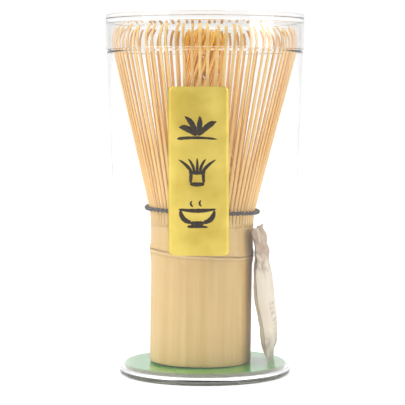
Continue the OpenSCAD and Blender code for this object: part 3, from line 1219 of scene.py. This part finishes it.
@dataclass
class Tines:
    """What the outer and the inner tines share: the split culm that they grow from."""

    stance: Stance
    staves: int = 18
    per_stave: int = 4
    slit_z: float = 44.5
    handle_top: float = 42.1
    thread_z: float = 48.4
    curl_z: float = 97.7
    tip_z: float = 106.3
    layer: str = ""
    seed: int = 0
    block_r: tuple[float, float] = (0.0, 0.0)
    half_pitches: int = 0
    chamfer: float = 0.28

    @property
    def pitch(self) -> float:
        """The angle between neighbouring tines, in radians."""
        return 2.0 * math.pi / (self.staves * self.per_stave)

    def root_block(
        self, shell: Shell, r0: float, r1: float, middle: float, rng: np.random.Generator
    ) -> None:
        """Lays the undivided foot of one stave, an arc whose top edge wanders with the slits' ends.

        Args:
            shell: the mesh under construction.
            r0: inner radius.
            r1: outer radius.
            middle: the stave's angle.
            rng: the source of the slits' ends.
        """
        half = math.pi / self.staves - 0.002
        spots = np.linspace(-half, half, 4 * self.per_stave + 1)
        top = self.slit_z + rng.uniform(-1.0, 0.6, size=len(spots))
        soft = 0.05
        section = np.array(
            [
                [r0, 0.0],
                [r0, 1.0],
                [r1 - soft, 1.0],
                [r1, 1.0],
                [r1, 1.0],
                [r1, 0.0],
                [r1, 0.0],
                [r1 - soft, 0.0],
            ]
        )
        drop = np.array([0.0, 0.0, 0.0, -soft, -3.0 * soft, 2.0 * soft, 0.0, 0.0])
        height = self.handle_top + (top[:, None] - self.handle_top) * section[None, :, 1] + drop
        angles = (middle + spots)[:, None] + 0.0 * section[None, :, 0]
        r = section[None, :, 0] * culm_oval(angles)
        grid = np.stack([r * np.cos(angles), r * np.sin(angles), height], axis=-1)
        shell.lay_tube(self.stance.place(grid), along=0.0, tone=0.2, flesh=0.0)

    def slat(
        self, shell: Shell, path: Array, wide: Array, thick: Array, tone: float, inside: float
    ) -> None:
        """Lays one tine: an eight-sided section with chamfered corners, carried up its path.

        Args:
            shell: the mesh under construction.
            path: the middle line, in the whisk's own frame.
            wide: the width at each point, measured round the whisk.
            thick: the thickness at each point, measured outwards.
            tone: how dark this tine is.
            inside: how much of its inner face shows scraped flesh.
        """
        out = unit(path * np.array([1.0, 1.0, 0.0]))
        ahead = unit(np.gradient(path, axis=0))
        across = unit(np.cross(ahead, out))
        through = np.cross(across, ahead)
        c = self.chamfer
        section = np.array(
            [
                [c - 1, -1],
                [1 - c, -1],
                [1, c - 1],
                [1, 1 - c],
                [1 - c, 1],
                [c - 1, 1],
                [-1, 1 - c],
                [-1, c - 1],
            ]
        ) / 2.0
        grid = carried(section, path, across * wide[:, None], through * thick[:, None])
        share = np.clip((path[:, 2] - self.slit_z) / (self.tip_z - self.slit_z), 0.0, 1.0)[:, None]
        flesh = inside * (section[None, :, 1] < 0.0)
        shell.lay_tube(self.stance.place(grid), along=share, tone=tone, flesh=flesh)

    def finish(self) -> SplitBamboo:
        """The bamboo of this layer."""
        raise NotImplementedError

    def tine(self, shell: Shell, angle: float, place: int, rng: np.random.Generator) -> None:
        """Lays one tine.

        Args:
            shell: the mesh under construction.
            angle: its angle round the whisk, at its root.
            place: its place in the stave, from 0.
            rng: the source of its small differences.
        """
        raise NotImplementedError

    def build(self) -> None:
        """Lays the staves of this layer, each with its tines."""
        bamboo = self.finish().material()
        for i in range(self.staves):
            rng = np.random.default_rng(SEED + self.seed + i)
            shell = Shell()
            middle = i * 2.0 * math.pi / self.staves + self.half_pitches * self.pitch / 2
            self.root_block(shell, *self.block_r, middle, rng)
            for j in range(self.per_stave):
                self.tine(shell, middle + (j - (self.per_stave - 1) / 2) * self.pitch, j, rng)
            piece = shell.build(f"{self.layer}_tines_{i + 1:02d}", bamboo)
            hand_over(
                piece, "whisk", f"{self.layer}_tine_bamboo", f"{self.layer}_stave_{i + 1:02d}"
            )


@dataclass
class OuterTines(Tines):
    """The outer tines: straight and fanned above the thread, curled inwards at their tips."""

    root_r: float = 16.25
    bend_z: float = 46.7
    bend_soft: float = 2.0
    curl_len: float = 9.0
    curl_in: float = 4.0
    widest_r: float = 29.55
    root_w: float = 1.26
    blade_w: float = 1.22
    tip_w: float = 0.8
    root_t: float = 1.1
    scraped_t: float = 0.55
    thinned_t: float = 0.22
    skin_gap: float = 0.012
    width_play: tuple[float, float] = (0.9, 1.1)
    hook_play: tuple[float, float] = (-0.9, 1.3)
    inward_play: float = 0.4
    sway: tuple[float, float, float] = (0.16, 0.18, 0.18)
    layer: str = "outer"
    seed: int = 100
    block_r: tuple[float, float] = (15.0, 16.25)

    def skin_r(self, z: Array) -> Array:
        """Outer face at height z: two straight runs joined by a hyperbola, less the curl's cubic.

        The upper run's slope is the one that makes the widest point equal widest_r. Past the
        curl's start the face gains 2/3 root(L cubed / 3c) times the slope to the power 1.5, for
        a curl of length L and depth c, so the square root of the slope solves a cubic.

        Args:
            z: heights in the whisk's own frame.

        Returns:
            The radius at each height.
        """
        gain = 2.0 / 3.0 * math.sqrt(self.curl_len**3 / (3.0 * self.curl_in))
        run = self.curl_z - self.bend_z
        rise = self.widest_r - self.root_r
        roots = np.roots([gain, run, 0.0, -rise])
        slope = float(roots.real[(np.abs(roots.imag) < 1e-9) & (roots.real > 0.0)][0]) ** 2
        d = z - self.bend_z
        curled = np.clip((z - self.curl_z) / self.curl_len, 0.0, None)
        return self.root_r + slope / 2 * (
            d + np.sqrt(d * d + self.bend_soft**2)
        ) - self.curl_in * curled**3

    def finish(self) -> SplitBamboo:
        """Pale bamboo, honey in its shades."""
        return SplitBamboo("outer_tine_bamboo_finish", roughness=0.45)

    def tine(self, shell: Shell, angle: float, place: int, rng: np.random.Generator) -> None:
        """Lays one outer tine, which is the same at every place in the stave.

        Args:
            shell: the mesh under construction.
            angle: its angle round the whisk.
            place: its place in the stave, from 0; not used.
            rng: the source of its small differences.
        """
        top = self.tip_z - rng.uniform(0.0, 1.0)
        z = np.concatenate(
            [
                [self.slit_z - 1.2, self.slit_z + 0.7],
                np.linspace(46.2, 51.5, 5),
                np.linspace(60.0, self.curl_z - 4.0, 5),
                np.linspace(self.curl_z, top, 9),
            ]
        )
        thick = self.root_t - self.scraped_t * smooth_step((z - self.thread_z) / 5.0)
        thick -= self.thinned_t * smooth_step((z - 55.0) / 40.0)
        wide = self.root_w - (self.root_w - self.blade_w) * smooth_step(
            (z - self.thread_z + 2.0) / 9.0
        )
        wide -= (self.blade_w - self.tip_w) * smooth_step((z - 58.0) / (self.tip_z - 58.0))
        wide *= rng.uniform(*self.width_play)
        free = np.clip((z - self.thread_z) / (self.tip_z - self.thread_z), 0.0, 1.0)
        curled = np.clip((z - self.curl_z) / self.curl_len, 0.0, None)
        r = self.skin_r(z) - self.skin_gap - thick / 2 - rng.uniform(
            0.0, self.inward_play
        ) * free**2
        r -= rng.uniform(*self.hook_play) * curled**4
        r *= 1.0 + (culm_oval(angle) - 1.0) * (1.0 - smooth_step((z - self.thread_z) / 10.0))
        lean, bow, hook = (rng.normal() * reach for reach in self.sway)
        turn = angle + (lean * free + bow * free**3 + hook * curled**2) / r
        path = np.stack([r * np.cos(turn), r * np.sin(turn), z], axis=-1)
        self.slat(shell, path, wide, thick, rng.random() ** 2, 1.0)


@dataclass
class InnerTines(Tines):
    """The inner tines: gathered inwards above the thread and twisted into a bundle.

    A tine's radius eases from the culm to its ring in the bundle. Its angle stays until the
    bundle, and then grows with height so that the tine slants by the same angle at any radius.
    """

    root_r: float = 13.95
    part_z: float = 49.4
    gather_z: float = 80.3
    slant: float = 19.0
    rings: tuple[float, ...] = (6.5, 5.2, 3.9, 2.6)
    root_w: float = 0.8
    blade_w: float = 0.5
    root_t: float = 0.9
    scraped_t: float = 0.48
    ease: float = 9.0
    tip_l: float = 7.0
    width_play: tuple[float, float] = (0.88, 1.12)
    ring_play: float = 0.12
    slant_play: float = 0.2
    tip_r_play: float = 0.25
    tip_play: float = 0.06
    bundle_play: float = 0.05
    layer: str = "inner"
    seed: int = 200
    block_r: tuple[float, float] = (12.9, 14.8)
    half_pitches: int = 1

    def finish(self) -> SplitBamboo:
        """The same bamboo, painted warmer, yellower and brighter than the outer tines' to make up
        for the shade inside the bundle.
        """
        # These brighter colours are painted light for the shaded inside of the whisk.
        return SplitBamboo(
            "inner_tine_bamboo_brightened",
            roughness=0.42,
            blade=from_screen(255, 214, 104),
            tip=from_screen(255, 212, 104),
            shade=from_screen(222, 154, 52),
            flesh=from_screen(246, 186, 76),
        )

    def tine(self, shell: Shell, angle: float, place: int, rng: np.random.Generator) -> None:
        """Lays one inner tine, whose place in the stave gives its ring in the bundle.

        Args:
            shell: the mesh under construction.
            angle: its angle round the whisk, at its root.
            place: its place in the stave, from 0.
            rng: the source of its small differences.
        """
        ring = self.rings[place] + rng.uniform(-self.ring_play, self.ring_play)
        top = self.tip_z - rng.uniform(0.4, 3.2)
        z = np.concatenate(
            [
                [self.slit_z - 0.5, self.part_z],
                np.linspace(53.0, self.gather_z, 11)[:-1],
                np.linspace(self.gather_z, top - 5.0, 9),
                np.linspace(top - 5.0, top, 5)[1:],
            ]
        )
        thick = self.root_t - self.scraped_t * smooth_step((z - self.part_z) / 12.0)
        wide = self.root_w - (self.root_w - self.blade_w) * smooth_step((z - self.part_z) / 20.0)
        wide *= rng.uniform(*self.width_play)
        gathered = smooth_step((z - self.part_z) / (self.gather_z - self.part_z))
        r = self.root_r + (ring - self.root_r) * gathered
        start = self.gather_z - self.ease
        eased = np.clip(z - start, 0.0, None) ** 2 / (2.0 * self.ease)
        climb = np.where(z < self.gather_z, eased, z - start - self.ease / 2.0)
        near_tip = smooth_step((z - (top - self.tip_l)) / self.tip_l)
        r += near_tip * rng.uniform(-self.tip_r_play, self.tip_r_play)
        slant = math.radians(self.slant + rng.uniform(-self.slant_play, self.slant_play))
        turn = angle + math.tan(slant) * climb / ring
        drift = rng.uniform(-self.tip_play, self.tip_play) * near_tip
        turn += (drift + rng.uniform(-self.bundle_play, self.bundle_play) * gathered) / ring
        path = np.stack([r * np.cos(turn), r * np.sin(turn), z], axis=-1)
        self.slat(shell, path, wide, thick, rng.random(), 0.6)


@dataclass
class Thread:
    """The dark thread: two strands twisted round the outer tines, a round inside and a tie.

    A strand's height and radius follow a sine and a cosine of the same angle, which turns
    thirty times on its way round, so that the two strands wind about each other.
    """

    stance: Stance
    strand_r: float = 0.34
    tie_scale: float = 0.9
    middle_z: float = 48.3
    round_r: float = 17.7
    turns: int = 30
    swing_z: float = 0.37
    swing_r: float = 0.36
    tilt: float = 1.5
    inner_round_r: float = 15.05
    inner_round_z: float = 48.85
    ply_pitch: float = 1.3
    steps: int = 600
    sides: int = 9

    def strand(self, shell: Shell, path: Array, closed: bool, radius: float) -> None:
        """Lays one two-ply strand along a path; the plies are raised, and turn as they go.

        Args:
            shell: the mesh under construction.
            path: the middle line, in the whisk's own frame.
            closed: whether it runs back into its start.
            radius: the strand's radius.
        """
        step = np.linalg.norm(
            np.diff(path, axis=0, append=path[:1] if closed else path[-1:]), axis=1
        )
        gone = np.concatenate([[0.0], np.cumsum(step)[:-1]])
        whole = max(1.0, round(step.sum() / self.ply_pitch))
        twist = gone / step.sum() * whole * 2.0 * np.pi
        ply = 0.5 + 0.5 * np.cos(2.0 * around(self.sides)[None, :] - twist[:, None])
        grid = tube(path, radius, self.sides, closed)
        grid = path[:, None] + (grid - path[:, None]) * (0.86 + 0.16 * ply)[..., None]
        shell.lay_tube(self.stance.place(grid), closed, ply=ply)

    def band_path(self, phase: float) -> Array:
        """One strand's way round the outer tines, a half turn from the other's."""
        a = around(self.steps)
        wind = self.turns * a + phase + 0.5 * np.sin(3 * a) + 0.4 * np.sin(7 * a + 1.0)
        r = self.round_r + self.swing_r * np.cos(wind) + 0.06 * np.sin(2 * a + 0.6)
        z = self.middle_z + self.swing_z * np.sin(wind)
        z = z + 0.14 * np.sin(2 * a + 2.0) + 0.08 * np.sin(5 * a)
        z = z - math.tan(math.radians(self.tilt)) * r * np.cos(a)
        return np.stack([r * np.cos(a), r * np.sin(a), z], axis=-1)

    def tie(self) -> list[tuple[Array, bool]]:
        """The tie at the back: a closed overhand loop and two short cut ends.

        Returns:
            The middle lines, each with whether it runs back into its start.
        """
        a = around(72)
        bulge = 0.62
        knot = np.stack(
            [
                bulge * (np.sin(a) + 1.5 * np.sin(2 * a)) * 0.62,
                self.round_r + 1.7 - 0.5 * np.sin(3 * a),
                self.middle_z + 0.3 + bulge * (np.cos(a) - 1.5 * np.cos(2 * a)) * 0.62,
            ],
            axis=-1,
        )
        t = np.linspace(0.0, 1.0, 14)
        lines = [(knot, True)]
        for side in (-1.0, 1.0):
            end = np.stack(
                [
                    side * (0.3 + 0.9 * t + 0.25 * np.sin(4 * t)),
                    self.round_r + 1.25 + 0.35 * np.sin(3 * t),
                    self.middle_z - 0.1 - 3.0 * t - 0.3 * side * t,
                ],
                axis=-1,
            )
            lines.append((end, False))
        return lines

    def build(self) -> None:
        """Lays the two strands of the band, the round that parts the tines, and the tie."""
        waxed = PliedThread("waxed_dark_thread", roughness=0.5).material()
        a = around(360)
        z = self.inner_round_z + 0.1 * np.sin(3 * a)
        parting = np.stack(
            [self.inner_round_r * np.cos(a), self.inner_round_r * np.sin(a), z], axis=-1
        )
        plans = (
            ("thread_first_strand", "thread_lower_round", 1.0, [(self.band_path(0.0), True)]),
            ("thread_second_strand", "thread_upper_round", 1.0, [(self.band_path(math.pi), True)]),
            ("thread_parting_round", "thread_inner_round", 1.0, [(parting, True)]),
            ("thread_tie", "thread_knot", self.tie_scale, self.tie()),
        )
        for name, node, scale, lines in plans:
            shell = Shell()
            for path, closed in lines:
                self.strand(shell, path, closed, self.strand_r * scale)
            hand_over(shell.build(name, waxed), "whisk", "dark_thread", node)


# ---------------------------------------------------------------- the drying sachet


@dataclass
class Sachet:
    """A small paper sachet of drying beads, swollen by a cloth simulation.

    It is worked out flat, with x through it, y across and z up, then bent along its middle line
    and stood in its place.
    """

    pocket_w: float = 23.6
    pocket_l: float = 38.6
    seal_l: float = 2.3
    bulge: float = 2.0
    foot_x: float = 20.9
    paper_t: float = 0.1
    across: int = 33
    up: int = 55
    bead_r: float = 0.9
    bead_rows: int = 8
    bead_columns: int = 5
    bead_step: float = 2.4
    bead_side: float = 0.3
    bead_play: float = 0.15
    mark_y: tuple[float, float] = (-3.6, 3.4)
    mark_z: tuple[float, float] = (6.0, 20.0)
    bend_z: tuple[float, ...] = (0.0, 12.0, 20.0, 27.0, 33.0, 38.0, 42.5)
    bend_x: tuple[float, ...] = (0.2, -0.45, -1.75, -2.35, -2.5, -2.85, -4.0)
    bend_turn: tuple[float, ...] = (8.0, 12.0, 15.0, 14.5, 12.0, 11.0, 11.0)
    sim_scale: float = 25.0
    sim_frames: int = 24
    most_pull: float = 1.4
    stiffness: float = 25.0
    pressure: float = 4.0
    cloth_mass: float = 0.25
    bending: float = 0.25

    def flat(self, height: float) -> tuple[Array, Array]:
        """The two sides as grids over the pocket, swollen like a cushion to the given height."""
        u = np.linspace(-1.0, 1.0, self.across)[None, :]
        v = np.linspace(-1.0, 1.0, self.up)[:, None]
        swell = height * np.sqrt(np.clip((1 - u * u) * (1 - v**4), 0.0, 1.0))
        y = u * self.pocket_w / 2 + 0.0 * v
        z = self.seal_l + (v + 1.0) * self.pocket_l / 2 + 0.0 * u
        return np.stack([swell, y, z], axis=-1), np.stack([-swell, y, z], axis=-1)

    def swollen(self) -> tuple[Array, Array]:
        """Runs the cloth: an almost flat closed bag under inner pressure, without gravity.

        Returns:
            The outer and the inner side, as grids that share their rims.
        """
        outer, inner = self.flat(0.5)
        rows, cols = outer.shape[:2]
        count = rows * cols
        index = np.arange(count).reshape(rows, cols)
        second = index + count
        for end in (0, -1):
            second[end], second[:, end] = index[end], index[:, end]
        used, packed = np.unique(
            np.concatenate([index.ravel(), second.ravel()]), return_inverse=True
        )
        points = np.concatenate([outer.reshape(-1, 3), inner.reshape(-1, 3)])[used]
        face = grid_faces(rows, cols, False, False)
        quads = np.concatenate([packed[:count][face], packed[count:][face[:, ::-1]]])
        mesh = bpy.data.meshes.new("bag_in_the_simulation")
        mesh.from_pydata((points * MM * self.sim_scale).tolist(), [], quads.tolist())
        mesh.update()
        bag = bpy.data.objects.new("bag_in_the_simulation", mesh)
        bpy.context.scene.collection.objects.link(bag)
        cloth = bag.modifiers.new("Cloth", "CLOTH")
        cloth.settings.quality = 6
        cloth.settings.mass = self.cloth_mass
        cloth.settings.tension_stiffness = self.stiffness
        cloth.settings.compression_stiffness = self.stiffness
        cloth.settings.bending_stiffness = self.bending
        cloth.settings.use_pressure = True
        cloth.settings.uniform_pressure_force = self.pressure
        cloth.settings.effector_weights.gravity = 0.0
        cloth.point_cache.frame_start = 1
        cloth.point_cache.frame_end = self.sim_frames
        for step in range(1, self.sim_frames + 1):
            bpy.context.scene.frame_set(step)
        grown = bag.evaluated_get(bpy.context.evaluated_depsgraph_get()).to_mesh()
        places = np.empty(len(grown.vertices) * 3)
        grown.vertices.foreach_get("co", places)
        bpy.data.objects.remove(bag)
        bpy.data.meshes.remove(mesh)
        bpy.context.scene.frame_set(1)
        places = places.reshape(-1, 3) / (MM * self.sim_scale)
        reach = np.array([self.bulge, self.most_pull, self.most_pull])
        places = points + reach * np.tanh((places - points) / reach)
        return places[packed[:count]].reshape(rows, cols, 3), places[packed[count:]].reshape(
            rows, cols, 3
        )

    def shaped(self) -> tuple[Array, Array, Array, Array]:
        """The finished flat shape: swollen, fitted to its size, crumpled on top, lumpy below.

        Returns:
            The outer side, the inner side, how far up the sachet each point is, from 0 to 1,
            and how deep in a fold it lies, from 0 to 1.
        """
        outer, inner = self.swollen()
        both = np.concatenate([outer, inner])
        low, high = both.min(axis=(0, 1)), both.max(axis=(0, 1))
        size = np.array([2 * self.bulge, self.pocket_w, self.pocket_l])
        start = np.array([-self.bulge, -self.pocket_w / 2, self.seal_l])
        outer, inner = ((side - low) / (high - low) * size + start for side in (outer, inner))

        seal = np.linspace(1.0, 0.0, 5)[:-1, None, None] * np.array([0.0, 0.0, self.seal_l])
        outer, inner = (
            np.concatenate([side[:1] - seal, side, side[-1:] + seal[::-1]]) for side in (
                outer, inner
            )
        )
        share = (outer[..., 2] + inner[..., 2]) / 2 / (self.pocket_l + 2 * self.seal_l)
        rng = np.random.default_rng(SEED + 2)
        slack = 1.0 - 0.62 * smooth_step((share - 0.5) / 0.4)
        lumps = soft_noise(rng, outer * np.array([0.0, 1.0, 1.0]), 24, 2.3)
        depth = np.abs(outer[..., 0] - inner[..., 0]) / (2 * self.bulge)
        crease = soft_noise(rng, outer * np.array([0.0, 1.0, 1.0]), 14, 5.5)
        crumple = (np.abs(crease) - 0.3) * 1.7 * smooth_step((share - 0.52) / 0.3)
        crumple += 0.22 * crease * smooth_step((0.2 - share) / 0.2)
        for side, sign in ((outer, 1.0), (inner, -1.0)):
            side[..., 0] = side[..., 0] * slack + sign * (
                self.paper_t / 2 + 0.16 * lumps * depth * slack
            ) + crumple
        slanted = outer @ np.array([[0.0, 0.0, 0.0], [0.0, 1.0, 0.6], [0.0, 0.35, 1.0]])
        fine = soft_noise(rng, slanted, 16, 2.6)
        creased = np.maximum(smooth_step((share - 0.6) / 0.12), smooth_step((0.24 - share) / 0.12))
        fold = np.maximum(bell(crease, 0.08), 0.8 * bell(fine, 0.1)) * creased
        return outer, inner, share, fold

    def place(self, points: Array) -> Array:
        """Bends flat points along the middle line, twists them to the front and stands them up."""
        bent = points.copy()
        bent[..., 0] += np.interp(points[..., 2], self.bend_z, self.bend_x)
        a = -np.radians(np.interp(points[..., 2], self.bend_z, self.bend_turn))
        x = bent[..., 0] * np.cos(a) - bent[..., 1] * np.sin(a) + self.foot_x
        y = bent[..., 0] * np.sin(a) + bent[..., 1] * np.cos(a)
        foot = node_box("sachet_outer_film")[0][2]
        return np.stack([x, y, foot + points[..., 2]], axis=-1)

    def marks(self, y: Array, z: Array) -> Array:
        """Faint generic print on the outer side: rows of short dashes towards its far edge."""
        rows = np.cos(z * 2.0 * np.pi / 1.7) > 0.2
        dashes = np.sin(y * 2.6 + 1.7 * np.sin(z * 1.9)) > 0.0
        zone = (y > self.mark_y[0]) & (y < self.mark_y[1])
        zone &= (z > self.mark_z[0]) & (z < self.mark_z[1])
        return (rows & dashes & zone).astype(float)

    def build(self) -> None:
        """Makes the outer and inner paper and the beads between them."""
        outer, inner, share, fold = self.shaped()
        at_end = smooth_step((0.062 - np.minimum(share, 1.0 - share)) / 0.01)
        rib = outer[..., 1] * 2.0 * np.pi / 0.9
        mark = self.marks(outer[..., 1], outer[..., 2])
        paper = SachetPaper("sachet_paper", roughness=0.55).material()
        middle = (outer + inner) / 2
        for name, side, print_here, node in (
            ("sachet_outer_paper", outer, mark, "sachet_outer_film"),
            ("sachet_inner_paper", inner, 0.0 * mark, "sachet_inner_film"),
        ):
            shell = Shell()
            within = (
                side + (middle - side) * 0.04 + np.sign(middle - side) * np.array([0.03, 0.0, 0.0])
            )
            values = {"up": share, "seal": at_end, "rib": rib, "mark": print_here, "fold": fold}
            shell.lay_slab(self.place(side), self.place(within), **values)
            piece = shell.build(name, paper)
            rounding = piece.modifiers.new("Rounding", "SUBSURF")
            rounding.levels = 1
            rounding.render_levels = 1
            hand_over(piece, "sachet", "sachet_film", node)
        self.beads()

    def beads(self) -> None:
        """Lays the beads in staggered rows through the lower part of the pocket."""
        shell = Shell()
        ring = np.linspace(0.0, np.pi, 8)
        ball = lathe(np.stack([np.sin(ring), -np.cos(ring)], axis=-1), around(12)) * self.bead_r
        rng = np.random.default_rng(SEED + 3)
        for row in range(self.bead_rows):
            for column in range(self.bead_columns):
                side = self.bead_side if (row + column) % 2 == 0 else -self.bead_side
                across = (column - self.bead_columns // 2) * self.bead_step
                middle = np.array([side, across, self.seal_l + 4.0 + row * self.bead_step])
                middle += rng.uniform(-self.bead_play, self.bead_play, size=3)
                shell.lay_turned(self.place(ball + middle))
        gel = GelBeads("milky_gel_beads", roughness=0.15)
        hand_over(
            shell.build("sachet_beads", gel.material()), "sachet", "desiccant", "desiccant_beads"
        )


# ---------------------------------------------------------------- the studio


@dataclass(frozen=True)
class Softbox:
    """One soft square lamp: where it hangs, how wide it is, and its power in watts."""

    name: str
    place: tuple[float, float, float]
    width: float
    power: float
    aim: tuple[float, float, float] = (0.0, 0.0, 0.05)

    def hang(self) -> None:
        """Adds the lamp, turned to its aim."""
        lamp = bpy.data.lights.new(self.name, "AREA")
        lamp.size = self.width
        lamp.energy = self.power
        holder = bpy.data.objects.new(self.name, lamp)
        holder.location = self.place
        holder.rotation_euler = (
            (Vector(self.aim) - Vector(self.place)).to_track_quat("-Z", "Y").to_euler()
        )
        bpy.context.scene.collection.objects.link(holder)


@dataclass
class Studio:
    """White floor, soft lamps, the camera, and a surround white behind and dimmer in front."""

    floor_half: float = 30.0
    back_light: float = 1.0
    front_light: float = 0.15
    camera_place: tuple[float, float, float] = (-0.00076, -0.525, 0.0866)
    camera_pitch: float = 86.5
    focal_length: float = 146.67
    softboxes: tuple[Softbox, ...] = (
        Softbox("left_softbox", (-0.55, -0.35, 0.35), 0.45, 1.7),
        Softbox("right_softbox", (0.6, -0.25, 0.3), 0.4, 1.1),
        Softbox("top_softbox", (0.0, 0.1, 0.8), 0.6, 1.6),
    )

    def build(self) -> None:
        """Lays the floor, lights the surround, hangs the lamps and stands the camera."""
        scene = bpy.context.scene
        scene.view_settings.view_transform = "Standard"
        half = self.floor_half
        mesh = bpy.data.meshes.new("studio_floor")
        mesh.from_pydata(
            [(-half, -half, 0), (half, -half, 0), (half, half, 0), (-half, half, 0)],
            [],
            [(0, 1, 2, 3)],
        )
        floor = bpy.data.objects.new("studio_floor", mesh)
        mesh.materials.append(StudioWhite("studio_white", roughness=0.9, specular=0.1).material())
        scene.collection.objects.link(floor)

        world = bpy.data.worlds.new("white_surround")
        world.use_nodes = True
        paint = Painter(world.node_tree)
        background = world.node_tree.nodes["Background"]
        background.inputs["Color"].default_value = (1.0, 1.0, 1.0, 1.0)
        direction = paint.node("TexCoord", {}).outputs["Generated"]
        backward = paint.node("SeparateXYZ", {0: direction}).outputs["Y"]
        strength = paint.span(paint.cut(backward, -0.95, -0.1), self.front_light, self.back_light)
        seen = paint.node("LightPath", {}).outputs["Is Camera Ray"]
        shown = paint.node("Mix", {0: seen, 2: strength, 3: 1.05}, data_type="FLOAT").outputs[0]
        paint.feed(background.inputs["Strength"], shown)
        scene.world = world

        for softbox in self.softboxes:
            softbox.hang()
        lens = bpy.data.cameras.new("product_camera")
        lens.lens = self.focal_length
        lens.clip_start = 0.01
        camera = bpy.data.objects.new("product_camera", lens)
        camera.location = self.camera_place
        camera.rotation_euler = (math.radians(self.camera_pitch), 0.0, 0.0)
        scene.collection.objects.link(camera)
        scene.camera = camera


def main() -> None:
    """Builds every sub-assembly in order."""
    logging.basicConfig(level=logging.INFO, format="%(name)s: %(message)s")
    case = Case()
    stance = Stance()
    case.build()
    BasePad().build()
    Label(case).build()
    Handle(stance).build()
    OuterTines(stance).build()
    InnerTines(stance).build()
    Thread(stance).build()
    Sachet().build()
    Studio().build()


if __name__ == "__main__":
    main()
